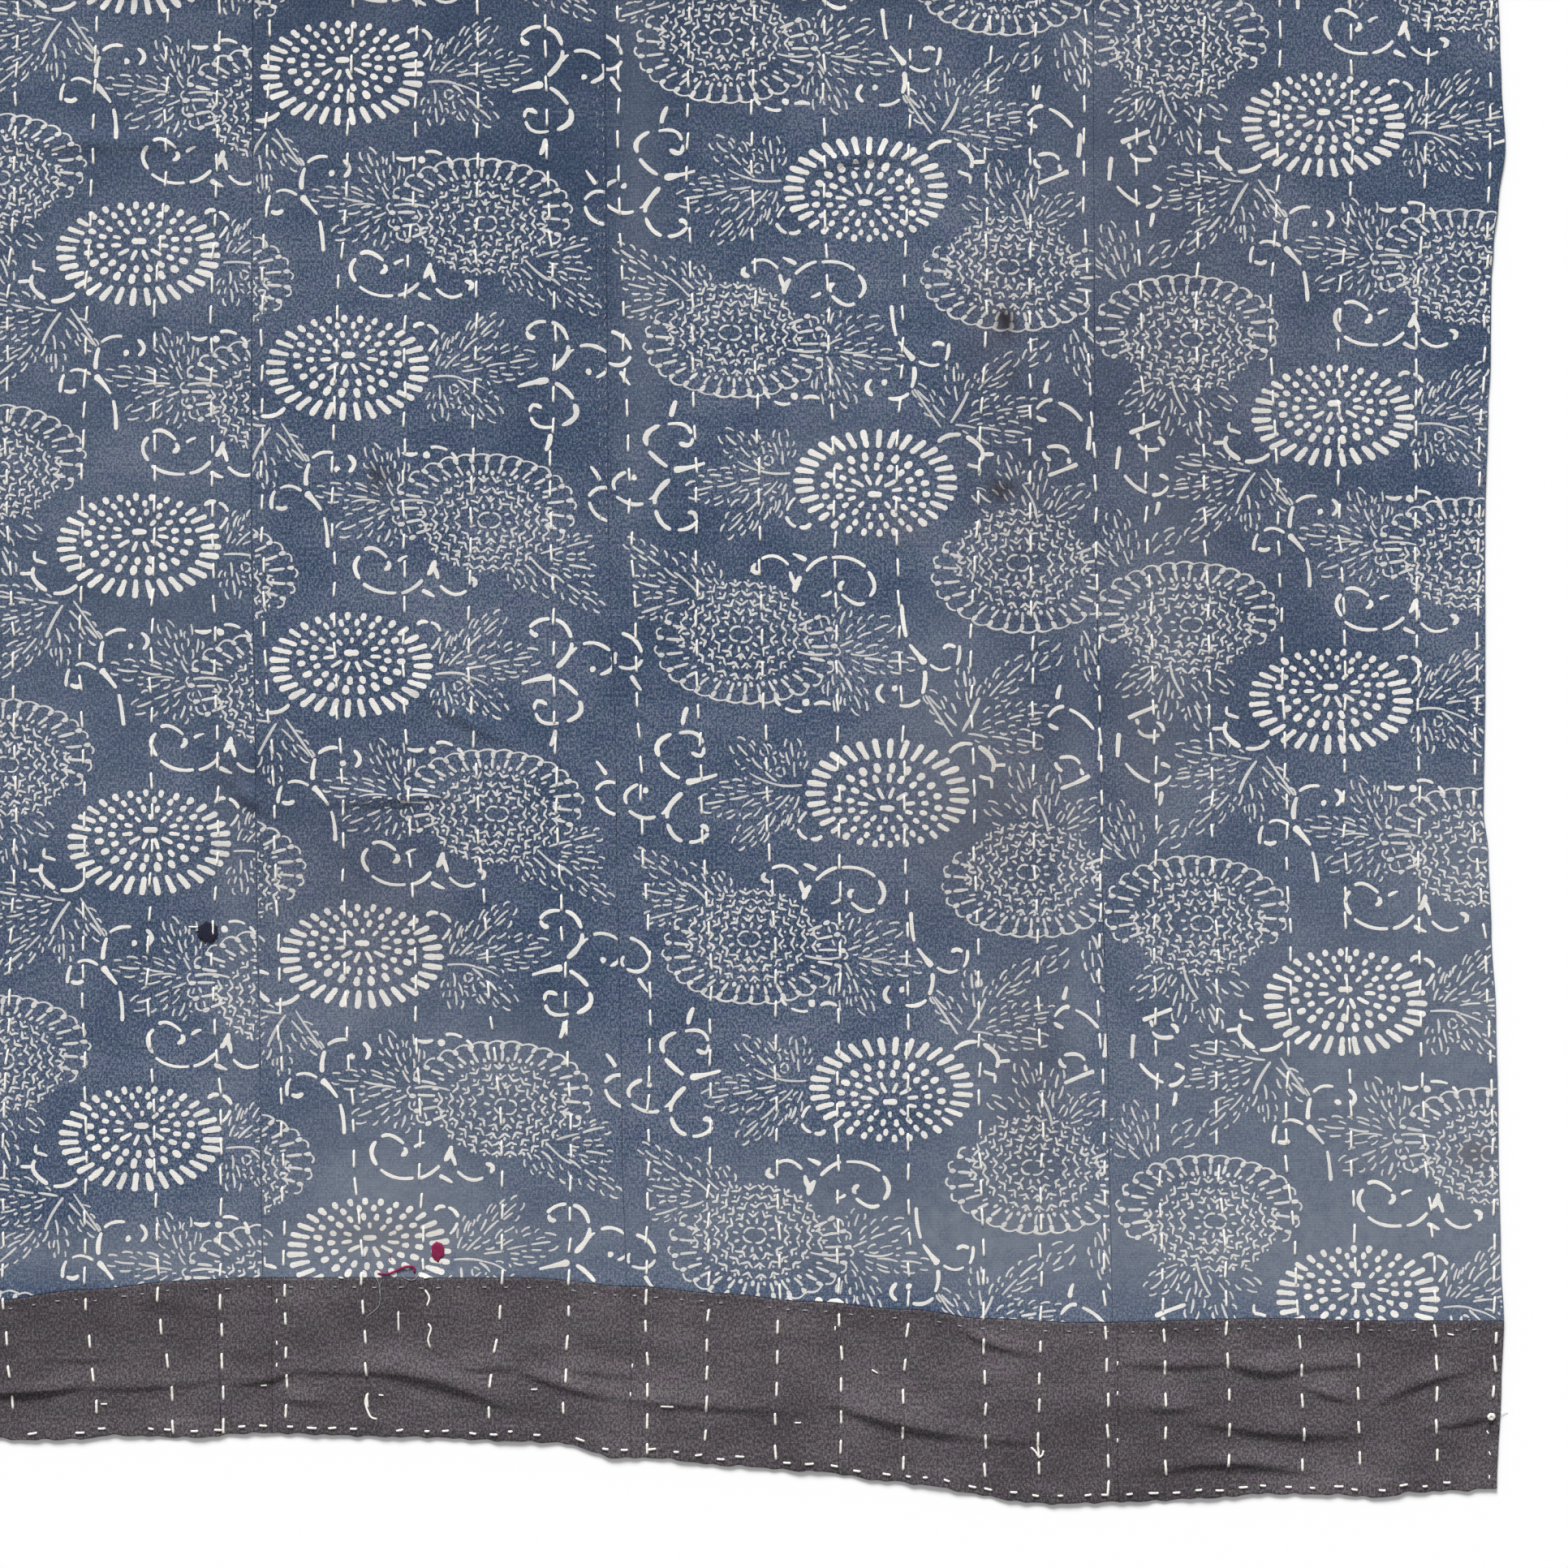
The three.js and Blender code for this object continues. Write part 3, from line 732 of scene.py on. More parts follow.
def cotton_colour(nodes, colour, worn, dark):
    """Uneven dye: a strong grain the size of one yarn, streaks of yarns both ways, and clouds
    at two sizes, with a violet cast here and there."""
    parts = (
        (nodes.noise((740, 500, 0), 0.38, 0.62, 1.0, (1, 5, 0)), 0.5),
        (nodes.noise((1300, 1100, 0), 0.36, 0.64, 1.0, (6, 2, 0)), 0.38),
        (nodes.noise((1100, 160, 0), 0.36, 0.64, 1.0), 0.1),
        (nodes.noise((150, 1100, 0), 0.36, 0.64, 1.0, (4, 9, 0)), 0.1),
        (nodes.noise((19, 26, 0), 0.34, 0.66, location=(7, 2, 0)), 0.2),
        (nodes.noise((5, 7, 0), 0.38, 0.62, location=(3, 1, 0)), 0.2),
    )
    share = 0.0
    for part, weight in parts:
        share = nodes.math("MULTIPLY_ADD", part, weight, share)
    low = nodes.mix(nodes.spread(share, 0.33, 0.75), dark, colour)
    mixed = nodes.mix(nodes.spread(share, 0.75, 1.15), low, worn)
    cast = nodes.noise((70, 90, 0), 0.42, 0.66, location=(2, 8, 0))
    return nodes.mix(cast, mixed, VIOLET_CAST, "MULTIPLY")


def with_stains_and_shade(nodes, colour, stains, tint):
    """The colour with each place in a table of small stains, and of painted shade, turned towards a
    tint.
    """
    for across, down, radius_across, radius_down, share in rows_of(stains):
        spot = nodes.spot(across, down, radius_across, radius_down)
        colour = nodes.mix(nodes.math("MULTIPLY", spot, share), colour, tint)
    return colour


def turned(nodes, colour, name, tint):
    """The colour turned unevenly towards a tint by the share in a piece's attribute."""
    share = nodes.node("ShaderNodeAttribute", attribute_name=name).outputs["Fac"]
    uneven = nodes.math("MULTIPLY_ADD", nodes.cloud, 0.6, 0.7)
    return nodes.mix(nodes.math("MULTIPLY", share, uneven), colour, tint)


def mark_wear(piece, across, down):
    """Each large table's share at each point, as attributes: 1 less the product of
    (1 - share x spot), where a spot falls evenly from 1 at its middle to 0 at its edge."""
    for name, stains in (("deep", DEEP_DYE), ("faded", FADES), ("warm", WARM_STAINS)):
        clear = np.ones(len(across))
        for x, y, radius_across, radius_down, share in rows_of(stains):
            far = np.hypot((across - x) / radius_across, (down - y) / radius_down)
            clear *= 1 - share * np.clip(1.05 - far, 0, 1)
        add_mark(piece, name, 1 - clear)


def from_frame(points):
    """Points in the frame, in metres, as places across and down the cloth."""
    return points[:, 0] / MM + CLOTH_WIDTH / 2, CLOTH_LENGTH / 2 - points[:, 1] / MM


def indigo_material(settings):
    """Indigo cotton, worn pale along its folds, with stains in places and painted shade at one crease.
    """
    nodes = Nodes("indigo_cotton")
    colour = cotton_colour(nodes, settings.indigo, settings.indigo_faded, settings.indigo_dark)
    colour = turned(nodes, colour, "deep", settings.indigo_dark)
    colour = turned(nodes, colour, "faded", settings.indigo_faded)
    colour = turned(nodes, colour, "warm", WARM_COTTON)
    # Dark stains, and painted shade at one crease.
    colour = with_stains_and_shade(nodes, colour, DARK_STAINS_AND_CREASE_SHADE, STAIN_AND_SHADE_COTTON)
    return nodes.finish(colour, nodes.weave(INDIGO_YARN, 0.8), 0.00011)


def brown_material(settings):
    """Grey-brown plain cotton, evenly dyed and a little worn."""
    nodes = Nodes("brown_cotton")
    colour = cotton_colour(nodes, settings.brown, settings.brown_worn, settings.brown_dark)
    return nodes.finish(colour, nodes.weave(BROWN_YARN, 0.6), 0.00008)


def cream_material(settings):
    """Undyed cotton under the paste: cream, dulled where the dye crept in and where worn."""
    nodes = Nodes("resist_cream")
    speck = nodes.noise((900, 900, 0), 0.3, 0.72)
    cloud = nodes.noise((14, 14, 0), 0.3, 0.7)
    attribute = nodes.node("ShaderNodeAttribute", attribute_name="paste")
    crept = nodes.math("SUBTRACT", 1.0, attribute.outputs["Fac"])
    crept = nodes.math("MULTIPLY_ADD", speck, 0.25, crept)
    crept = nodes.math("MULTIPLY_ADD", cloud, 0.12, crept)
    colour = nodes.mix(nodes.spread(crept, 0.1, 1.1), settings.cream, settings.indigo_faded)
    colour = turned(nodes, colour, "warm", WARM_CREAM)
    # Dark stains, and the painted shade at one crease, as on the indigo.
    colour = with_stains_and_shade(nodes, colour, DARK_STAINS_AND_CREASE_SHADE, STAIN_AND_SHADE_CREAM)
    return nodes.finish(colour, nodes.weave(INDIGO_YARN, 0.8), 0.00009)


def thread_material(name, colour, shade):
    """Soft twisted cotton thread: a little uneven in colour and fuzzy in relief."""
    nodes = Nodes(name)
    grain = nodes.noise((1500, 700, 900), 0.3, 0.7)
    tint = nodes.mix(grain, shade, colour)
    return nodes.finish(tint, grain, 0.0001, sheen=0.1)


# Print


def ellipse(centre_u, centre_v, radius_u, radius_v, angles):
    """Points on an ellipse."""
    return centre_u + radius_u * np.cos(angles), centre_v + radius_v * np.sin(angles)


def turns(count, phase=0.0):
    """Angles evenly round a circle."""
    return 2 * np.pi * (np.arange(count) + phase) / count


def line_strokes(start, end, widths, bow=0.0):
    """Straight or bowed strokes: the middle lies a bow's distance to one side of the chord."""
    (u0, v0), (u1, v1) = start, end
    length = np.maximum(np.hypot(u1 - u0, v1 - v0), 1e-6)
    um = (u0 + u1) / 2 + bow * (v1 - v0) / length
    vm = (v0 + v1) / 2 - bow * (u1 - u0) / length
    return np.stack(np.broadcast_arrays(u0, v0, um, vm, u1, v1, *widths), -1)


def ray_strokes(centre, radii, angles, length, widths):
    """Strokes that point at a centre, with their outer tips on an ellipse."""
    tip_u, tip_v = ellipse(*centre, *radii, angles)
    reach = np.hypot(tip_u - centre[0], tip_v - centre[1])
    inner_u = tip_u - (tip_u - centre[0]) * length / reach
    inner_v = tip_v - (tip_v - centre[1]) * length / reach
    return line_strokes((inner_u, inner_v), (tip_u, tip_v), widths)


def even_turns(count, radii, phase=0.0):
    """Angles whose points lie evenly along an ellipse: the running length of its line, by
    steps of sqrt((a sin)^2 + (b cos)^2), is cut into equal parts."""
    whole = np.linspace(0, 2 * np.pi, 721)
    middle = (whole[1:] + whole[:-1]) / 2
    run = np.cumsum(np.hypot(radii[0] * np.sin(middle), radii[1] * np.cos(middle)))
    run = np.concatenate([[0], run])
    return np.interp((np.arange(count) + phase) / count * run[-1], run, whole)


def cusp_strokes(centre, radii, angles, rng, out=5.4, side=7.4, bow=0.7):
    """Pairs of short arms that meet in a point towards the centre and flare at their ends."""
    apex_u, apex_v = ellipse(*centre, *radii, angles)
    reach = np.hypot(apex_u - centre[0], apex_v - centre[1])
    way_u, way_v = (apex_u - centre[0]) / reach, (apex_v - centre[1]) / reach
    arms = []
    for hand in (-1, 1):
        far = side * rng.uniform(0.8, 1.15, len(angles))
        off = out * rng.uniform(0.7, 1.3, len(angles))
        end_u = apex_u + way_u * off - hand * way_v * far
        end_v = apex_v + way_v * off + hand * way_u * far
        arms.append(line_strokes((apex_u, apex_v), (end_u, end_v), CUSP_WIDTHS, hand * bow))
    return np.concatenate(arms)


def dotted_flower():
    """The bold flower: an oval, three rings of dots and a ring of rays, all facing its heart."""
    rings = [np.array([(-7, -1, 2, -1, 11, -1, 9, 10, 9)], float)]
    first = turns(11, 0.25)
    long = 8 + 6 * smooth(-0.2, 0.5, np.sin(first)) + 3 * np.abs(np.cos(first))
    rings.append(ray_strokes((3, 2), (36, 22), first, long, (6, 6.5, 6)))
    for count, centre, radii, low, high in (
        (17, (1, 4), (51, 35), 8.2, 9.4), (20, (1, 5), (68, 47), 8.2, 11.2),
    ):
        angles = turns(count, 0.4)
        size = low + (high - low) * (0.5 + 0.5 * np.sin(angles))
        rings.append(ray_strokes(centre, radii, angles, size * 1.1, (size, size, size)))
    outer = turns(31, 0.1)
    long = 9.5 + (14 + 1.5 * np.cos(outer) ** 2) * smooth(-0.95, -0.4, np.sin(outer))
    wide = 8.7 + 1.0 * np.sin(outer) + 0.4 * np.cos(outer)
    wide = np.where(long < 13, 9.6, wide)
    rings.append(
        ray_strokes((1, 15), (101.5, 65), outer, long, (wide * 0.8, wide, wide * 1.05))
    )
    return np.concatenate(rings)


def fine_flower(centre_u, centre_v, rng):
    """The fine flower: an oval ring of four arcs, a ring of drops, four rings of cusps with a
    dot in each, and petals, each a scallop with a dash at its side and a dot at its foot."""
    centre = (centre_u, centre_v)
    quarter = turns(4, 0.15)
    start, end = ellipse(*centre, 14, 8.4, quarter), ellipse(*centre, 14, 8.4, quarter + 1.36)
    parts = [line_strokes(start, end, (3, 3.6, 3), 3.4)]
    drops = even_turns(12, (24, 18), 0.3)
    parts.append(ray_strokes(centre, (27, 21), drops, 7, (3.2, 4.4, 3.2)))
    for count, shift, radii, phase, highest in (
        (13, (-3, 0), (35, 22), 0.0, -2), (18, (-4, 0), (48, 33), 0.4, -2),
        (23, (-4, -1), (61, 45), 0.1, -2), (28, (-4, -1), (74, 56), 0.5, -0.25),
    ):
        middle = (centre_u + shift[0], centre_v + shift[1])
        angles = even_turns(count, radii, phase)
        angles = angles[np.sin(angles) > highest]
        parts.append(cusp_strokes(middle, radii, angles, rng))
        size = rng.uniform(3.6, 5, len(angles))
        parts.append(ray_strokes(
            middle, (radii[0] + 10, radii[1] + 8.5), angles, size * rng.uniform(0.7, 1, len(angles)),
            (size * 0.8, size, size * 0.8)
        ))
    rim, radii, petals = (centre_u - 7, centre_v - 14), (111, 63), 27

    def kept(angles):
        return angles[np.sin(angles) < 0.62 - 0.13 * np.cos(angles)]

    joints, middles = kept(even_turns(petals, radii, 0.5)), kept(even_turns(petals, radii))
    step = 2 * np.pi / petals
    start, end = joints + 0.08 * step, joints + (0.88 - 0.1 * np.cos(2 * joints)) * step
    parts.append(line_strokes(
        ellipse(*rim, *radii, start), ellipse(*rim, *radii, end), (2.6, 3.1, 4.2), 3.9
    ))
    parts.append(ray_strokes(rim, (112, 64), joints, 9, (3.6, 7.6, 6.4)))
    long = rng.uniform(11, 14, len(joints)) + 8 * np.cos(joints) ** 2
    parts.append(ray_strokes(rim, (101, 55), joints, long, (3.4, 4.8, 4)))
    wide = rng.uniform(5.4, 7, len(middles)) * (1 - 0.45 * np.cos(middles) ** 2)
    parts.append(ray_strokes(
        rim, (84, 47), middles, 6 + 2 * np.cos(middles) ** 2, (wide * 0.8, wide, wide * 0.8)
    ))
    return np.concatenate(parts)


def blade_strokes(root, tip, spread, rng):
    """One blade of a leaf: first its broken vein and an edge of short arcs that end in teeth,
    then the thin dashes between them, which lean away from the vein. The half width at a share
    s of the way is spread x sin(pi s^0.85)^0.7."""
    root, way = np.array(root), np.array(tip) - np.array(root)
    length = math.hypot(*way)
    along = way / length
    aside = np.array((along[1], -along[0]))

    def at(share, off):
        place = root + np.multiply.outer(share, way) + np.multiply.outer(off, aside)
        return place[..., 0], place[..., 1]

    def half(share):
        return spread * np.sin(np.pi * np.clip(share, 0, 1) ** 0.85).clip(0) ** 0.7

    veins = max(2, round(length / 30))
    cuts = np.linspace(0.02, 0.92, veins + 1)
    gap = 2.4 / length
    start, end = cuts[:-1] + gap, cuts[1:] - gap
    sway = rng.uniform(-1.5, 1.5, veins)
    edges = [line_strokes(at(start, 0 * start), at(end, sway), (3, 3.8, 2.6), 0.8)]
    notches = max(2, round(length / 19))
    cuts = np.linspace(0.2, 1.0, notches + 1)
    cuts[1:-1] += rng.uniform(-0.03, 0.03, notches - 1)
    dashes = []
    for hand in (-1, 1):
        start, end = cuts[:-1] + gap, cuts[1:] - gap
        near = hand * (half(start) + 1) * rng.uniform(0.85, 1.05, notches)
        far = hand * (half(end) + 3) * rng.uniform(0.95, 1.2, notches)
        edges.append(line_strokes(at(start, near), at(end, far), (2.6, 3.4, 3.2), hand * 1.4))
        tooth = end - rng.uniform(-2.5, 2, notches) / length
        edges.append(line_strokes(
            at(end, far), at(tooth, far - hand * rng.uniform(4, 6, notches)), (3.8, 3.4, 2.4)
        ))
        count = max(6, round(length / 3))
        share = rng.uniform(0.1, 0.88, count)
        layer = rng.uniform(0.2, 0.95, count)
        off = hand * layer * half(share)
        long = np.linspace(17, 6, count) * rng.uniform(0.9, 1.1, count)
        lean = hand * long * (0.46 - 0.44 * share + rng.normal(0, 0.06, count))
        dashes.append(line_strokes(
            at(share, off), at(share + long / length, off + lean), (2.4, 3.3, 2.4), hand * 0.5
        ))
    return np.concatenate(edges), np.concatenate(dashes)


def stroke_curve(strokes, t):
    """Points along strokes at shares t, as (1 - t)^2 start + 2 t (1 - t) bend + t^2 end, where
    the bend is set so that the curve passes through the stroke's middle."""
    start, middle, end = (strokes[:, None, k : k + 2] for k in (0, 2, 4))
    bend = 2 * middle - (start + end) / 2
    way = 2 * (1 - t) * (bend - start) + 2 * t * (end - bend)
    return (1 - t) ** 2 * start + 2 * t * (1 - t) * bend + t**2 * end, way


def apart(fixed, strokes, gap, samples=7, reach=40):
    """The strokes that stay a gap clear of all fixed ones, of the next repeats' ones and of
    each other, taken in their order."""
    t = np.linspace(0.06, 0.94, samples)[:, None]
    taken = stroke_curve(fixed, t)[0].reshape(-1, 2)
    taken = np.concatenate([taken + (0, step) for step in (-STENCIL_REPEAT, 0, STENCIL_REPEAT)])
    kept = []
    for number, line in enumerate(stroke_curve(strokes, t)[0]):
        near = taken[(abs(taken - line[samples // 2]) < reach).all(1)]
        if len(near) and np.hypot(*(near[:, None] - line[None]).T).min() < gap:
            continue
        kept.append(number)
        taken = np.concatenate([taken, line])
    return strokes[kept]


def stencil(rng):
    """All strokes of one repeat of the print, with how well the paste kept the dye out."""
    scrolls, stems = (np.stack([*chart.values()], -1) for chart in (SCROLLS, STEMS))
    bold = np.concatenate([dotted_flower(), scrolls])
    fine = np.concatenate([fine_flower(*centre, rng) for centre in FINE_FLOWERS])
    arcs = turns(3)
    start, end = (ellipse(*SMALL_RING, angles) for angles in (arcs, arcs + 1.8))
    leaves = [stems, line_strokes(start, end, (3, 3.6, 3), 1.6)]
    blades = [blade_strokes((u, v), (tip_u, tip_v), spread, rng)
              for u, v, tip_u, tip_v, spread in rows_of(BLADES)]
    for part, gap in ((0, 2.8), (1, 4.3)):
        fixed = np.concatenate([bold, fine, *leaves])
        leaves.append(apart(fixed, np.concatenate([blade[part] for blade in blades]), gap))
    leaves = np.concatenate(leaves)
    groups = bold, fine, leaves
    paste = [np.full(len(group), kept) for group, kept in zip(groups, PASTE_SHARES.values())]
    return np.concatenate(groups), np.concatenate(paste)


def stretched_places(values, number):
    """A print's places by repeat number, carried on evenly past both ends."""
    count = len(values)
    step = (values[-1] - values[0]) / (count - 1)
    inside = np.interp(number, np.arange(count), values)
    before, after = np.minimum(number, 0), np.maximum(number - (count - 1), 0)
    return inside + step * (before + after)


def place_strokes(strokes, hand, anchors, repeat):
    """Strokes of one repeat put on the cloth: the unit scales them and the flowers' own places
    stretch them. hand is -1 where the width was sewn in with its print upside down."""
    placed = strokes.copy()
    for u, v in ((0, 1), (2, 3), (4, 5)):
        number = repeat + hand * strokes[:, v] / STENCIL_REPEAT
        middle = stretched_places(anchors["across"], number)
        placed[:, u] = middle + hand * strokes[:, u] * STENCIL_UNIT
        placed[:, v] = stretched_places(anchors["down"], number)
    placed[:, 6:] *= STENCIL_UNIT * STROKE_WIDTH_SHARE
    return placed


def stroke_faces(stations):
    """The faces of one stroke: a point at both ends and rings of left, crest and right."""
    ring = 1 + 3 * np.arange(stations - 2)
    left, crest, right = ring, ring + 1, ring + 2
    last = 1 + 3 * (stations - 2)
    quads = [
        (crest[:-1], crest[1:], left[1:], left[:-1]),
        (right[:-1], right[1:], crest[1:], crest[:-1]),
        (left[:-1], left[1:], right[1:], right[:-1]),
    ]
    quads = np.concatenate([np.stack(q, -1) for q in quads])
    tips = np.array([
        (0, crest[0], left[0]), (0, right[0], crest[0]), (0, left[0], right[0]),
        (crest[-1], last, left[-1]), (right[-1], last, crest[-1]), (left[-1], last, right[-1]),
    ])
    both = np.concatenate([quads[:, [0, 1, 2]], quads[:, [0, 2, 3]], tips])
    return both, last + 1


def stroke_mesh(strokes, stations, limits, rng, rise):
    """Strokes as low closed lenses on the cloth. Along each runs the curve through its three
    points; its half width is the width's curve times a round end, sqrt(1 - q^2)."""
    share = (1 - np.cos(np.pi * np.arange(stations) / (stations - 1))) / 2
    line, way = stroke_curve(strokes, share[None, :, None])
    length = np.linalg.norm(strokes[:, None, 4:6] - strokes[:, None, 0:2], axis=-1) + 1e-6
    widths = strokes[:, 6:9]
    mid_width = 2 * widths[:, 1] - (widths[:, 0] + widths[:, 2]) / 2
    s = share[None, :]
    width = ((1 - s) ** 2 * widths[:, :1] + 2 * s * (1 - s) * mid_width[:, None]
             + s**2 * widths[:, 2:])
    half = np.minimum(width / 2, length / 2)
    cap = (np.abs(s - 0.5) * length - (length / 2 - half)) / half
    width = width / 2 * np.sqrt(1 - np.clip(cap, 0, 1) ** 2)
    width = width * rng.uniform(*EDGE_WAVER, width.shape)
    way = way / np.maximum(np.linalg.norm(way, axis=-1, keepdims=True), 1e-6)
    aside = np.stack([way[..., 1], -way[..., 0]], -1) * width[..., None]
    left, crest, right = (line + aside)[:, 1:-1], line[:, 1:-1], (line - aside)[:, 1:-1]
    rings = np.stack([left, crest, right], 2).reshape(len(strokes), -1, 2)
    flat = np.concatenate([line[:, :1], rings, line[:, -1:]], 1)
    lowest, highest, head, foot = limits(flat[..., 0], flat[..., 1])
    across, down = flat[..., 0].clip(lowest, highest), flat[..., 1].clip(head, foot)
    inside = (np.abs(across - flat[..., 0]) + np.abs(down - flat[..., 1])) < 0.01
    keep = inside.mean(1) > LEAST_SHARE
    lift = np.full(flat.shape[1], rise)
    lift[2:-1:3] += CREST_RISE
    height = upper_height(across, down) + lift
    faces, count = stroke_faces(stations)
    kept = int(keep.sum())
    faces = (faces[None] + count * np.arange(kept)[:, None, None]).reshape(-1, 3)
    points = to_frame(across[keep], down[keep], height[keep])
    corners = points[faces]
    sides = corners[:, 1] - corners[:, 0], corners[:, 2] - corners[:, 0]
    return points, faces[np.linalg.norm(np.cross(*sides), axis=1) > LEAST_AREA], keep


def print_piece(name, number, strokes, paste, material):
    """One printed width's resist marks, in as many repeats as it takes to cover the width. The
    longer a stroke is, the more stations it has."""
    settings = bpy.context.scene.sashiko_cloth
    hand, anchors = PRINTS[number]
    rng = np.random.default_rng(SEED + number)
    placed, strength = [], []
    for repeat in range(-2, len(anchors["down"]) + 2):
        shaken = strokes + rng.normal(0, PLACE_SHAKE, strokes.shape)
        placed.append(place_strokes(shaken, hand, anchors, repeat))
        strength.append(paste + rng.normal(0, PASTE_SHAKE, len(paste)))
    placed, strength = np.concatenate(placed), np.concatenate(strength)

    def limits(across, down):
        margin = 0.7
        low = seam_line(number - 1, down) if number else 0 * down
        high = seam_line(number, down) if number < len(SEAMS) else right_edge(down)
        return low + margin, high - margin, margin, band_top(across) - margin

    inside = (placed[:, 3] > -5) & (placed[:, 3] < CLOTH_LENGTH)
    placed, strength = placed[inside], strength[inside]
    length = np.hypot(placed[:, 4] - placed[:, 0], placed[:, 5] - placed[:, 1])
    points, faces, marks, start = [], [], [], 0
    for low, high, stations in LENGTH_CLASSES:
        chosen = (length >= low) & (length < high)
        part, part_faces, keep = stroke_mesh(
            placed[chosen], stations, limits, rng, settings.print_rise / MM
        )
        points.append(part)
        faces.append(part_faces + start)
        marks.append(np.repeat(strength[chosen][keep], len(part) // max(1, int(keep.sum()))))
        start += len(part)
    points, faces, marks = np.concatenate(points), np.concatenate(faces), np.concatenate(marks)
    used, faces = np.unique(faces, return_inverse=True)
    piece = new_piece(name, points[used], [faces.reshape(-1, 3)], material, False)
    add_mark(piece, "paste", marks[used])
    mark_wear(piece, *from_frame(points[used]))
    return piece


# Thread


def thread_mesh(paths, radius, sides=6, plies=2, twist=1.6, lobe=0.16, tip=0.3, lowest=0.1):
    """Threads along paths: rings of radius r (1 + lobe cos(plies (angle - turn))) that turn
    along the way as two twisted plies do, with a point at both ends."""
    paths = np.asarray(paths, float)
    count, stations = paths.shape[:2]
    way = np.gradient(paths, axis=1)
    way /= np.maximum(np.linalg.norm(way, axis=-1, keepdims=True), 1e-9)
    side = np.cross(way, (0.0, 0.0, 1.0))
    side /= np.maximum(np.linalg.norm(side, axis=-1, keepdims=True), 1e-9)
    up = np.cross(side, way)
    steps = np.linalg.norm(np.diff(paths, axis=1), axis=-1)
    run = np.concatenate([np.zeros((count, 1)), np.cumsum(steps, 1)], 1)
    angle = turns(sides)[None, None, :]
    lobes = 1 + lobe * np.cos(plies * (angle - twist * run[..., None]))
    size = (np.asarray(radius, float) * lobes)[..., None]
    rings = paths[:, :, None] + size * (
        np.cos(angle)[..., None] * side[:, :, None] + np.sin(angle)[..., None] * up[:, :, None]
    )
    tips = np.stack([paths[:, 0] - way[:, 0] * tip, paths[:, -1] + way[:, -1] * tip], 1)
    points = np.concatenate([rings.reshape(count, -1, 3), tips], 1)
    ring = np.arange(stations * sides).reshape(stations, sides)
    after = np.roll(ring, -1, 1)
    quads = np.stack([ring[:-1], ring[1:], after[1:], after[:-1]], -1).reshape(-1, 4)
    first, last = stations * sides, stations * sides + 1
    heads = np.stack([np.full(sides, first), ring[0], after[0]], -1)
    tails = np.stack([np.full(sides, last), after[-1], ring[-1]], -1)
    shift = (stations * sides + 2) * np.arange(count)[:, None, None]
    faces = [(quads[None] + shift).reshape(-1, 4),
             (np.concatenate([heads, tails])[None] + shift).reshape(-1, 3)]
    points = points.reshape(-1, 3)
    return to_frame(points[:, 0], points[:, 1], np.maximum(points[:, 2], lowest)), faces


def laid_paths(across, down, turn, length, rise, sink, stations=12):
    """Stitches as paths: z = cloth - sink + (sink + rise)(1 - |2t - 1|^14), so that both ends go
    down into the cloth. turn is the stitch's angle from straight down the cloth."""
    share = (1 - np.cos(np.pi * np.arange(stations) / (stations - 1)))[None] / 2
    along = (share - 0.5) * length[:, None]
    x = across[:, None] + along * np.sin(turn)[:, None]
    y = down[:, None] + along * np.cos(turn)[:, None]
    arch = (sink + rise) * (1 - np.abs(2 * share - 1) ** 14) - sink
    return np.stack([x, y, upper_height(x, y) + arch], -1)


def row_stitches(places, head, foot, rng):
    """One row's stitches: places across and down, with uneven pitch, length and lean, and
    shorter and closer in the band."""
    settings = bpy.context.scene.sashiko_cloth
    pitch = settings.stitch_pitch / MM
    count = int((foot - head) / pitch) + 4
    steps = pitch * rng.normal(1, PITCH_WAVER, count)
    down = head + rng.uniform(0, pitch) + np.cumsum(steps) - steps[0]
    seam = float(band_top(places[-2]))
    down = np.where(down > seam, seam + (down - seam) * settings.band_pitch, down)
    down = down[down < foot - 4]
    across = row_line(places, down) + rng.normal(0, PLACE_WAVER, len(down))
    lean = (row_line(places, down - 5) - row_line(places, down + 5)) / -10
    turn = np.arctan(lean) + rng.normal(0, LEAN_WAVER, len(down))
    waver = rng.normal(1, LENGTH_WAVER, len(down)).clip(0.7, 1.3)
    length = settings.stitch_length / MM * waver
    length = np.where(down > seam, settings.band_stitch, 1) * length
    return across, down, turn, length


def edge_row(line, rng, inward, pitch, length):
    """A row of stitches beside a line that runs across the cloth, a few of them missing."""
    across = np.arange(4, CLOTH_WIDTH - 8, pitch)
    across = across + rng.normal(0, 0.11 * pitch, len(across))
    across = across[rng.uniform(size=len(across)) > 0.12]
    down = line(across) + inward + rng.normal(0, 0.45, len(across))
    slope = (line(across + 9) - line(across - 9)) / 18
    turn = np.arctan2(1, slope) + rng.normal(0, 0.09, len(across))
    return across, down, turn, length * rng.normal(1, 0.24, len(across)).clip(0.5, 1.6)


def seam_row(rng, number, beside, head, foot, pitch, length):
    """A row of small stitches beside a seam between two printed widths."""
    down = np.arange(head, foot, pitch)
    down = down + rng.normal(0, 0.1 * pitch, len(down))
    across = seam_line(number, down) + beside + rng.normal(0, 0.3, len(down))
    turn = rng.normal(0, 0.15, len(down))
    return across, down, turn, length * rng.normal(1, 0.2, len(down)).clip(0.4, 1.6)


def smooth_path(places, stations):
    """A curve through places, by the cubic whose slope at a place is half of the way from the
    place before it to the place after it."""
    p = np.array(places, float)
    p = np.concatenate([[2 * p[0] - p[1]], p, [2 * p[-1] - p[-2]]])
    t = np.linspace(0, len(p) - 3 - 1e-6, stations)
    k = t.astype(int)
    s = (t - k)[:, None]
    a, b, c, d = p[k], p[k + 1], p[k + 2], p[k + 3]
    return b + s / 2 * (c - a + s * (2 * a - 5 * b + 4 * c - d + s * (3 * (b - c) + d - a)))


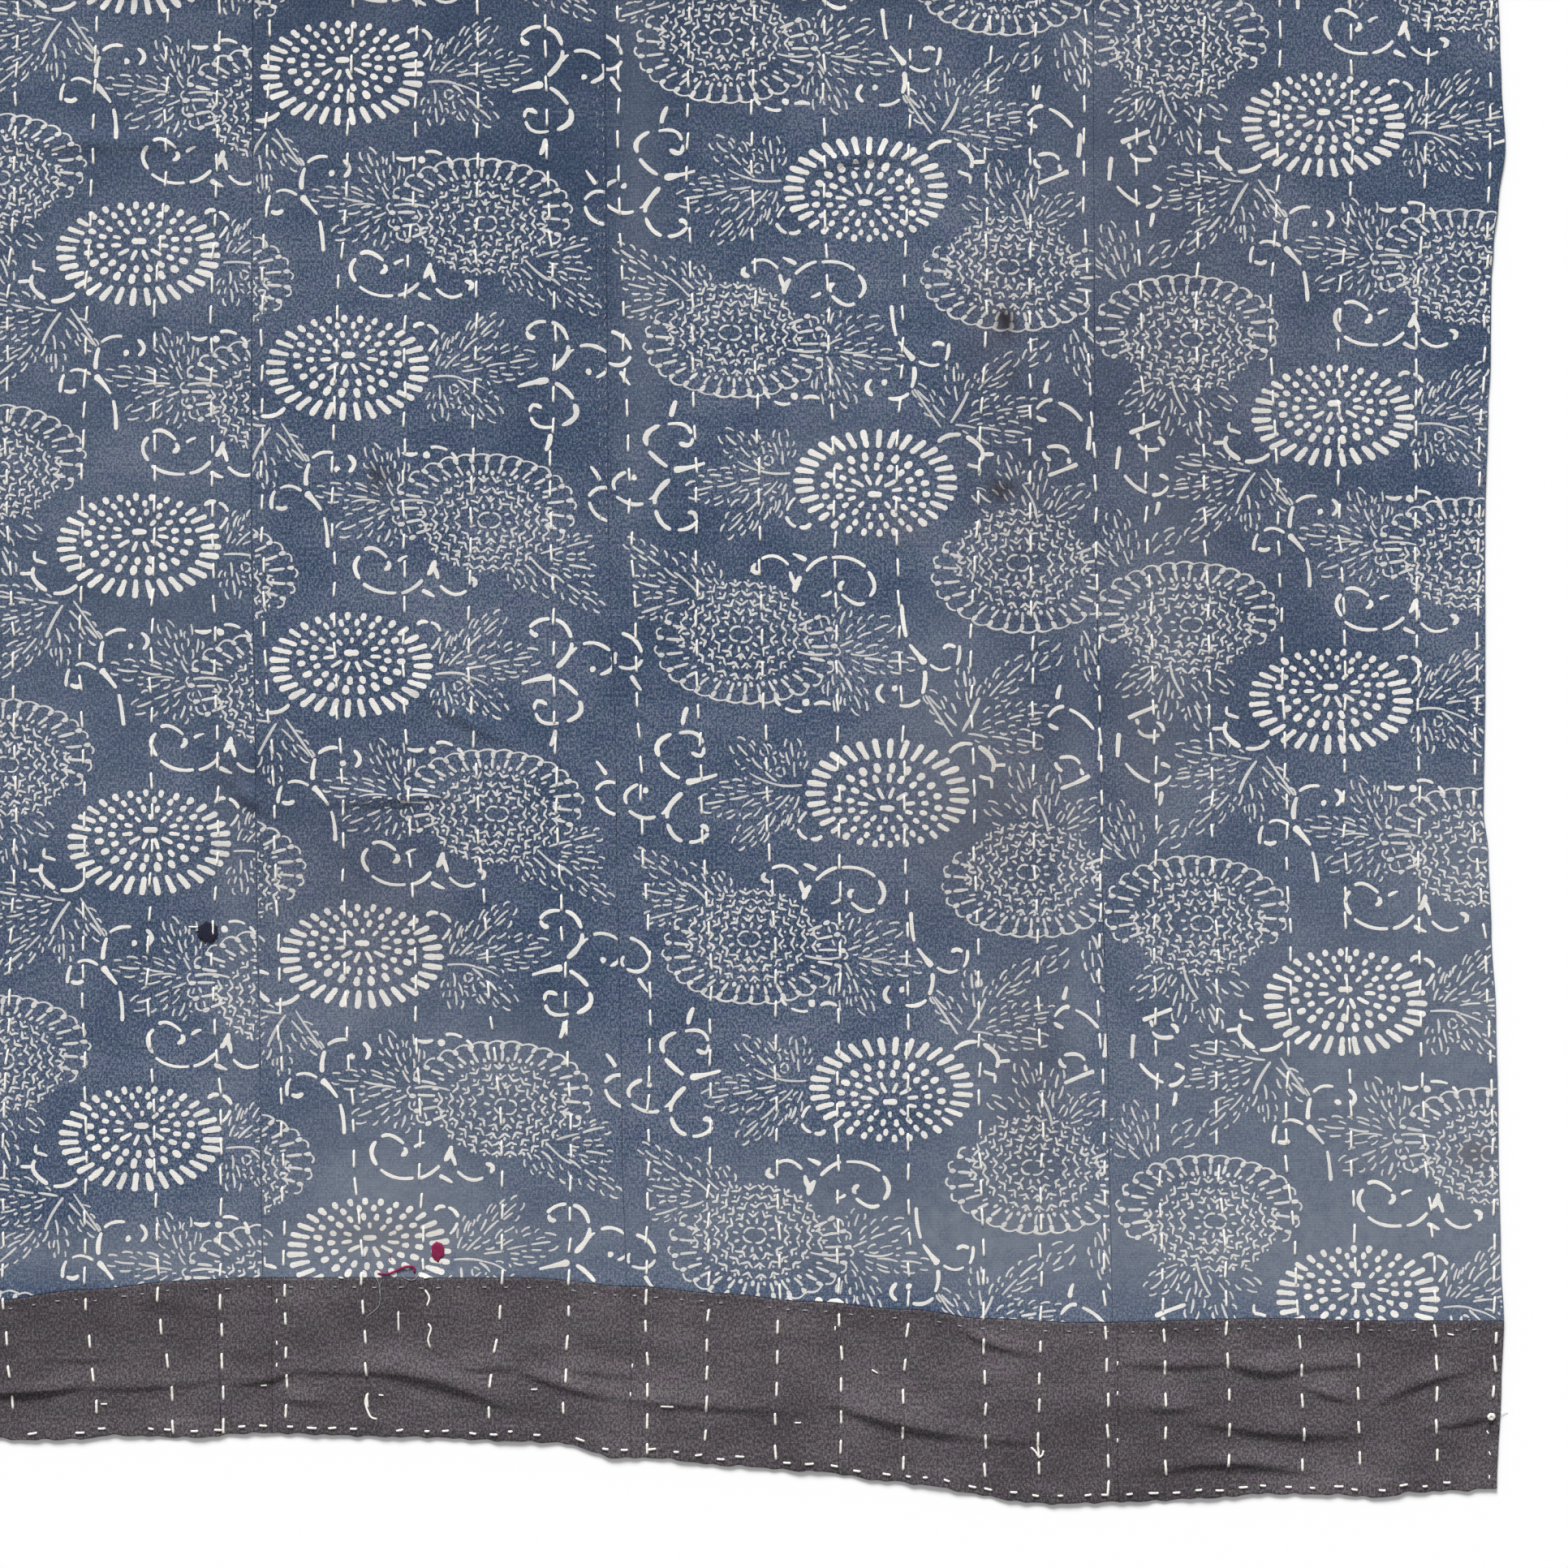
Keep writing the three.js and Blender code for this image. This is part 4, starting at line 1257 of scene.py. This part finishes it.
def curved_path(places, rise, sink=0.6, stations=15):
    """A thread along a curve, lying on the cloth, with both ends sunk into it."""
    flat = smooth_path(places, stations)
    share = np.linspace(-1, 1, stations)
    arch = (sink + rise) * (1 - np.abs(share) ** 8) - sink
    return np.concatenate([flat, (upper_height(*flat.T) + arch)[:, None]], 1)[None]


def filling_paths(patch, pitch, radius, upright, ragged, over, rng, stations=13):
    """Threads side by side that fill an uneven round patch: each as long as the patch is wide
    there, half x sqrt(1 - q^2), more or less by ragged, and waved over and under by over."""
    halves = patch["half_across"], patch["half_down"]
    side, reach = halves if upright else halves[::-1]
    off = np.arange(-side + radius, side, pitch)
    half = reach * np.sqrt(1 - (off / (side + 0.3)) ** 2)
    low = -half * (1 + rng.uniform(-ragged, ragged, len(off)))
    high = half * (1 + rng.uniform(-ragged, ragged, len(off)))
    share = np.linspace(0, 1, stations)[None]
    along = low[:, None] + (high - low)[:, None] * share
    beside = off[:, None] + rng.normal(0, 0.06, along.shape)
    x, y = (beside, along) if upright else (along, beside)
    x, y = x + patch["across"], y + patch["down"]
    wave = over * np.sin(np.pi * (along / pitch + np.arange(len(off))[:, None]))
    sunk = 0.5 * (np.abs(2 * share - 1) ** 10)
    return np.stack([x, y, upper_height(x, y) + radius * 0.7 + wave - sunk], -1)


def knot_path(place, turns_made=3.3, stations=70):
    """A knot of thread wound on itself: a ring whose radius and height sway as it turns."""
    turn = np.linspace(0, 2 * np.pi * turns_made, stations)
    radius = 1.5 + 0.5 * np.sin(turn * 0.61)
    x = place[0] + radius * np.cos(turn)
    y = place[1] + 0.9 * radius * np.sin(turn)
    height = upper_height(x, y) + 0.5 + 0.55 * (1 + np.sin(turn * 0.77))
    return np.stack([x, y, height], -1)[None]


def thread_piece(name, meshes, material):
    """Several threads' meshes joined as one piece."""
    points, faces, start = [], [], 0
    for part, part_faces in meshes:
        faces.extend(f + start for f in part_faces)
        points.append(part)
        start += len(part)
    return new_piece(name, np.concatenate(points), faces, material)


# Settings and operators


def number_setting(name, description, default, **limits):
    """A number that a user may change."""
    return bpy.props.FloatProperty(
        name=name, description=description, default=default, **limits
    )


def size_setting(name, description, default):
    """A length in metres that a user may change."""
    return number_setting(name, description, default, unit="LENGTH")


def colour_setting(name, description, default):
    """A colour that a user may change."""
    return bpy.props.FloatVectorProperty(
        name=name, description=description, default=default, subtype="COLOR", min=0, max=1
    )


class SashikoClothSettings(bpy.types.PropertyGroup):
    """Sizes of the cloth and its stitches, and its colours."""

    thickness: size_setting("Thickness", "Thickness of the two layers of cotton together", 0.0015)
    grid: size_setting("Grid", "Spacing of the points on the printed widths' face", 0.0034)
    band_grid: size_setting("Band grid", "Spacing of the points on the band's face", 0.0016)
    hem_width: size_setting("Hem width", "Width of the turned hem", 0.007)
    hem_rise: size_setting("Hem rise", "How far the hem stands up", 0.0006)
    seam_rise: size_setting("Seam rise", "How far a seam stands up", 0.0005)
    seam_gap: size_setting("Seam gap", "Between two lengths of cloth at their seam", 0.00012)
    row_depth: size_setting(
        "Row depth", "Depth of the furrow along a row of running stitch", 0.0004,
    )
    crease_steepness: number_setting(
        "Crease flank", "Width of a crease's lower flank as a share of its upper", 0.3, min=0.1, max=1,
    )
    crease_rise: number_setting(
        "Crease rise", "Share of their full height that the creases stand up", 1.9, min=0,
    )
    wrinkle_rise: size_setting("Wrinkle rise", "Height of the slow wrinkles in the band", 0.0005)
    print_rise: size_setting(
        "Print clearance", "Height of the resist marks over the cloth's face", 0.0001,
    )
    stitch_pitch: size_setting("Stitch pitch", "From one running stitch to the next", 0.0202)
    stitch_length: size_setting("Stitch length", "Length of a running stitch on the face", 0.0098)
    band_pitch: number_setting(
        "Band pitch", "Stitch pitch in the band as a share of that in the print", 1.0, min=0.1,
    )
    band_stitch: number_setting(
        "Band stitch", "Stitch length in the band as a share of that in the print", 0.86, min=0.1,
    )
    thread_width: size_setting("Thread width", "Width of the white thread", 0.0017)
    seam_thread_width: size_setting(
        "Seam thread width", "Width of the finer thread in seams", 0.0009,
    )
    mend_thread_width: size_setting(
        "Mending thread width", "Width of the thread in the mends", 0.00095,
    )
    hem_inset: size_setting("Hem inset", "From the foot to its row of hem stitches", 0.0047)
    indigo: colour_setting("Indigo", "Colour of the printed cotton", (0.056, 0.089, 0.148))
    indigo_dark: colour_setting(
        "Deep indigo", "The printed cotton where the dye is deepest", (0.019, 0.036, 0.073),
    )
    indigo_faded: colour_setting(
        "Worn indigo", "The printed cotton where it has worn pale", (0.178, 0.201, 0.246),
    )
    cream: colour_setting("Cream", "Cotton that the paste kept the dye from", (0.79, 0.765, 0.72))
    brown: colour_setting("Brown", "Colour of the band's cotton", (0.0685, 0.0638, 0.0685))
    brown_dark: colour_setting(
        "Deep brown", "The band's cotton at its darkest", (0.033, 0.026, 0.031),
    )
    brown_worn: colour_setting(
        "Worn brown", "The band's cotton where it has worn pale", (0.165, 0.146, 0.158),
    )
    thread: colour_setting("White thread", "Colour of the running stitch", (0.9, 0.88, 0.83))
    old_thread: colour_setting("Old thread", "Colour of the worn sewing thread", (0.42, 0.43, 0.44))
    magenta: colour_setting("Magenta", "Colour of the magenta mends", (0.3, 0.014, 0.085))
    navy: colour_setting("Navy", "Colour of the darn", (0.018, 0.019, 0.045))


class SashikoStageSettings(bpy.types.PropertyGroup):
    """The studio: its light, floor and camera."""

    floor: colour_setting("Floor", "Colour of the floor", (0.9, 0.9, 0.9))
    sky: number_setting("Surrounding light", "Strength of the light from all round", 0.42)
    key: number_setting("Key light", "Strength of the soft light from above the cloth's head", 4.6)
    key_spread: number_setting(
        "Key softness", "How wide the key light is seen from the cloth", 0.35, unit="ROTATION",
    )
    lens: number_setting("Lens", "Focal length", 100.0, unit="CAMERA")
    frame_width: size_setting(
        "Frame width", "Width of cloth and floor that the picture takes in", 1.00464,
    )


# The studio, in metres, with the width of the camera's sensor in millimetres.
SENSOR_WIDTH = 36.0
FRAME_CENTRE, FACE_HEIGHT = (0.0252, -0.0257), 0.0018
FLOOR_REACH, FLOOR_DROP = 45.0, 0.0002
LAMP_PLACE = (-0.5, 3.0, 1.62)


class SASHIKO_OT_stage(bpy.types.Operator):
    """Make the floor, the soft light and the camera straight above the cloth"""

    bl_idname = "sashiko.stage"
    bl_label = "Studio"

    def execute(self, context):
        settings = context.scene.sashiko_stage
        data = bpy.data.cameras.new("camera")
        data.lens, data.sensor_width = settings.lens, SENSOR_WIDTH
        data.clip_end = 100.0
        camera = bpy.data.objects.new("camera", data)
        distance = settings.frame_width * settings.lens / data.sensor_width
        camera.location = (*FRAME_CENTRE, distance + FACE_HEIGHT)
        context.scene.collection.objects.link(camera)
        context.scene.camera = camera
        context.scene.view_settings.view_transform = "Standard"

        corners = ((-1, -1), (1, -1), (1, 1), (-1, 1))
        points = [(FLOOR_REACH * x, FLOOR_REACH * y, -FLOOR_DROP) for x, y in corners]
        mesh = bpy.data.meshes.new("floor")
        mesh.from_pydata(points, [], [(0, 1, 2, 3)])
        floor = bpy.data.objects.new("floor", mesh)
        context.scene.collection.objects.link(floor)
        nodes = Nodes("floor")
        nodes.shader.inputs["Base Color"].default_value = (*settings.floor, 1)
        nodes.shader.inputs["Roughness"].default_value = 0.8
        nodes.shader.inputs["Specular IOR Level"].default_value = 0.1
        mesh.materials.append(nodes.material)

        world = bpy.data.worlds.new("studio")
        world.use_nodes = True
        back = world.node_tree.nodes["Background"]
        back.inputs["Color"].default_value = (1.0, 1.0, 1.0, 1)
        back.inputs["Strength"].default_value = settings.sky
        context.scene.world = world
        light = bpy.data.lights.new("key_light", "SUN")
        light.energy, light.angle = settings.key, settings.key_spread
        lamp = bpy.data.objects.new("key_light", light)
        lamp.location = LAMP_PLACE
        lamp.rotation_euler = (-Vector(LAMP_PLACE)).to_track_quat("-Z", "Y").to_euler()
        context.scene.collection.objects.link(lamp)
        return {"FINISHED"}


class SASHIKO_OT_printed_widths(bpy.types.Operator):
    """Make the four widths of indigo cotton"""

    bl_idname = "sashiko.printed_widths"
    bl_label = "Printed widths"

    def execute(self, context):
        settings = context.scene.sashiko_cloth
        grid, gap = settings.grid / MM, settings.seam_gap / MM / 2
        material = indigo_material(settings)
        seams = [partial(seam_line, number) for number in range(len(SEAMS))]
        lines = [start_line, *seams, right_edge]
        for number in range(len(lines) - 1):
            sides = between(lines, number, gap)
            piece, points = lay_sheet(
                f"printed_width_{number + 1}",
                (*sides, start_line, lambda across: band_top(across) - gap),
                PRINTED_SPAN, grid, material,
            )
            mark_wear(piece, *from_frame(points))
        return {"FINISHED"}


class SASHIKO_OT_band_lengths(bpy.types.Operator):
    """Make the six lengths of brown cotton in the band"""

    bl_idname = "sashiko.band_lengths"
    bl_label = "Band lengths"

    def execute(self, context):
        settings = context.scene.sashiko_cloth
        grid, gap = settings.band_grid / MM, settings.seam_gap / MM / 2
        material = brown_material(settings)
        lines = [start_line, *(partial(join_line, join) for join in BAND_JOINS), right_edge]
        for number in range(len(lines) - 1):
            sides = between(lines, number, gap)
            lay_sheet(
                f"band_length_{number + 1}",
                (*sides, lambda across: band_top(across) + gap, lower_edge),
                BAND_SPAN, grid, material,
            )
        return {"FINISHED"}


class SASHIKO_OT_resist_print(bpy.types.Operator):
    """Lay the cream resist print on the four widths"""

    bl_idname = "sashiko.resist_print"
    bl_label = "Resist print"

    def execute(self, context):
        material = cream_material(context.scene.sashiko_cloth)
        strokes, paste = stencil(np.random.default_rng(SEED))
        for number in range(len(PRINTS)):
            print_piece(f"resist_print_{number + 1}", number, strokes, paste, material)
        return {"FINISHED"}


class SASHIKO_OT_running_stitch(bpy.types.Operator):
    """Sew the rows of white running stitch"""

    bl_idname = "sashiko.running_stitch"
    bl_label = "Running stitch"

    def execute(self, context):
        settings = context.scene.sashiko_cloth
        rng = np.random.default_rng(SEED + 11)
        material = thread_material("white_thread", settings.thread, WHITE_SHADE)
        radius = settings.thread_width / MM / 2
        meshes = []
        for number, places in enumerate((*ROWS, SEAM_ROW)):
            foot = ROW_FEET.get(number, float(lower_edge(places[-1])))
            across, down, turn, length = row_stitches(places, 6, foot, rng)
            paths = laid_paths(across, down, turn, length, 0.3 * radius, 1.1)
            meshes.append(thread_mesh(paths, radius))
        half = len(meshes) // 2
        thread_piece("running_stitch_left", meshes[:half], material)
        thread_piece("running_stitch_right", meshes[half:], material)
        return {"FINISHED"}


class SASHIKO_OT_edge_stitches(bpy.types.Operator):
    """Sew the hem at the foot, the band's upper seam, the stray stitches and the edge's knot"""

    bl_idname = "sashiko.edge_stitches"
    bl_label = "Hem and stray stitches"

    def execute(self, context):
        settings = context.scene.sashiko_cloth
        rng = np.random.default_rng(SEED + 23)
        white = thread_material("hem_thread", settings.thread, WHITE_SHADE)
        thick, thin = settings.thread_width / MM / 2, settings.seam_thread_width / MM / 2

        def sewn(stitches, radius, sink=0.5):
            return thread_mesh(laid_paths(*stitches, radius * 0.6, sink, 7), radius)

        def listed(stitches, radius):
            across, down, angle, length = stitches.values()
            return sewn((across, down, np.radians(angle), length), radius)

        hem = edge_row(lower_edge, rng, inward=-settings.hem_inset / MM, **HEM_ROW)
        upper = edge_row(band_top, rng, **UPPER_ROW)
        thread_piece("hem_stitches", [
            sewn(hem, 0.86 * thick), listed(SHORT_STITCHES, 1.2 * thin),
        ], white)
        curved = [thread_mesh(curved_path(p, 0.3), 1.45 * thin) for p in CURVED_STITCHES]
        tail = curved_path(KNOT_TAIL, 0.2)
        tail[0, :, 2] = np.linspace(tail[0, 0, 2] + 0.6, 0.3, tail.shape[1])
        thread_piece("stray_stitches", [
            *curved, listed(EDGE_STITCHES, thick), thread_mesh(knot_path(KNOT), 0.85 * thick, 7),
            thread_mesh(tail, 0.4 * thin, 5),
        ], white)
        old = thread_material("old_seam_thread", settings.old_thread, OLD_SHADE)
        rows = [seam_row(rng, beside=beside, **OLD_ROWS) for beside in OLD_ROWS_BESIDE]
        loose = [thread_mesh(curved_path(p, 0.3, stations=32), 0.5 * thin, 5)
                 for p in LOOSE_THREADS]
        thread_piece("old_seam_stitches", [
            *(sewn(row, 0.75 * thin, 0.3) for row in rows), sewn(upper, 0.9 * thin), *loose,
        ], old)
        return {"FINISHED"}


class SASHIKO_OT_mends(bpy.types.Operator):
    """Work the navy darn and the magenta mends"""

    bl_idname = "sashiko.mends"
    bl_label = "Mends"

    def execute(self, context):
        settings = context.scene.sashiko_cloth
        rng = np.random.default_rng(SEED + 31)
        radius = settings.mend_thread_width / MM / 2
        navy = thread_material("navy_thread", settings.navy, NAVY_SHADE)
        weave = [filling_paths(NAVY_DARN, 1.5 * radius, radius, upright, 0.3, 0.25 * radius, rng)
                 for upright in (False, True)]
        weave[1][..., 2] += 0.25 * radius
        thread_piece("navy_darn", [thread_mesh(w, radius) for w in weave], navy)
        magenta = thread_material("magenta_thread", settings.magenta, MAGENTA_SHADE)
        patch = filling_paths(MAGENTA_PATCH, 1.4 * radius, radius, True, 0.16, 0, rng)
        thread = curved_path(MAGENTA_THREAD, 0.7, stations=36)
        bit = laid_paths(*np.array([*MAGENTA_BIT.values()])[:, None], 0.1, 0.5, 7)
        thread_piece("magenta_mends", [
            thread_mesh(patch, radius), thread_mesh(thread, 1.6 * radius, 8),
            thread_mesh(bit, 0.7 * radius),
        ], magenta)
        return {"FINISHED"}


class SASHIKO_PT_panel(bpy.types.Panel):
    """Lists what the cloth is made of"""

    bl_idname = "SASHIKO_PT_panel"
    bl_label = "Sashiko cloth"
    bl_space_type = "VIEW_3D"
    bl_region_type = "UI"
    bl_category = "Sashiko"

    def draw(self, context):
        for operator in OPERATORS:
            self.layout.operator(operator.bl_idname)
        for group in (context.scene.sashiko_cloth, context.scene.sashiko_stage):
            box = self.layout.box()
            for name in group.__annotations__:
                box.prop(group, name)


OPERATORS = (
    SASHIKO_OT_stage, SASHIKO_OT_printed_widths, SASHIKO_OT_band_lengths,
    SASHIKO_OT_resist_print, SASHIKO_OT_running_stitch, SASHIKO_OT_edge_stitches,
    SASHIKO_OT_mends,
)
CLASSES = (SashikoClothSettings, SashikoStageSettings, *OPERATORS, SASHIKO_PT_panel)


def register():
    for cls in CLASSES:
        bpy.utils.register_class(cls)
    bpy.types.Scene.sashiko_cloth = bpy.props.PointerProperty(type=SashikoClothSettings)
    bpy.types.Scene.sashiko_stage = bpy.props.PointerProperty(type=SashikoStageSettings)


def unregister():
    del bpy.types.Scene.sashiko_stage
    del bpy.types.Scene.sashiko_cloth
    for cls in reversed(CLASSES):
        bpy.utils.unregister_class(cls)


def main():
    register()
    bpy.ops.sashiko.stage()
    bpy.ops.sashiko.printed_widths()
    bpy.ops.sashiko.band_lengths()
    bpy.ops.sashiko.resist_print()
    bpy.ops.sashiko.running_stitch()
    bpy.ops.sashiko.edge_stitches()
    bpy.ops.sashiko.mends()


if __name__ == "__main__":
    main()
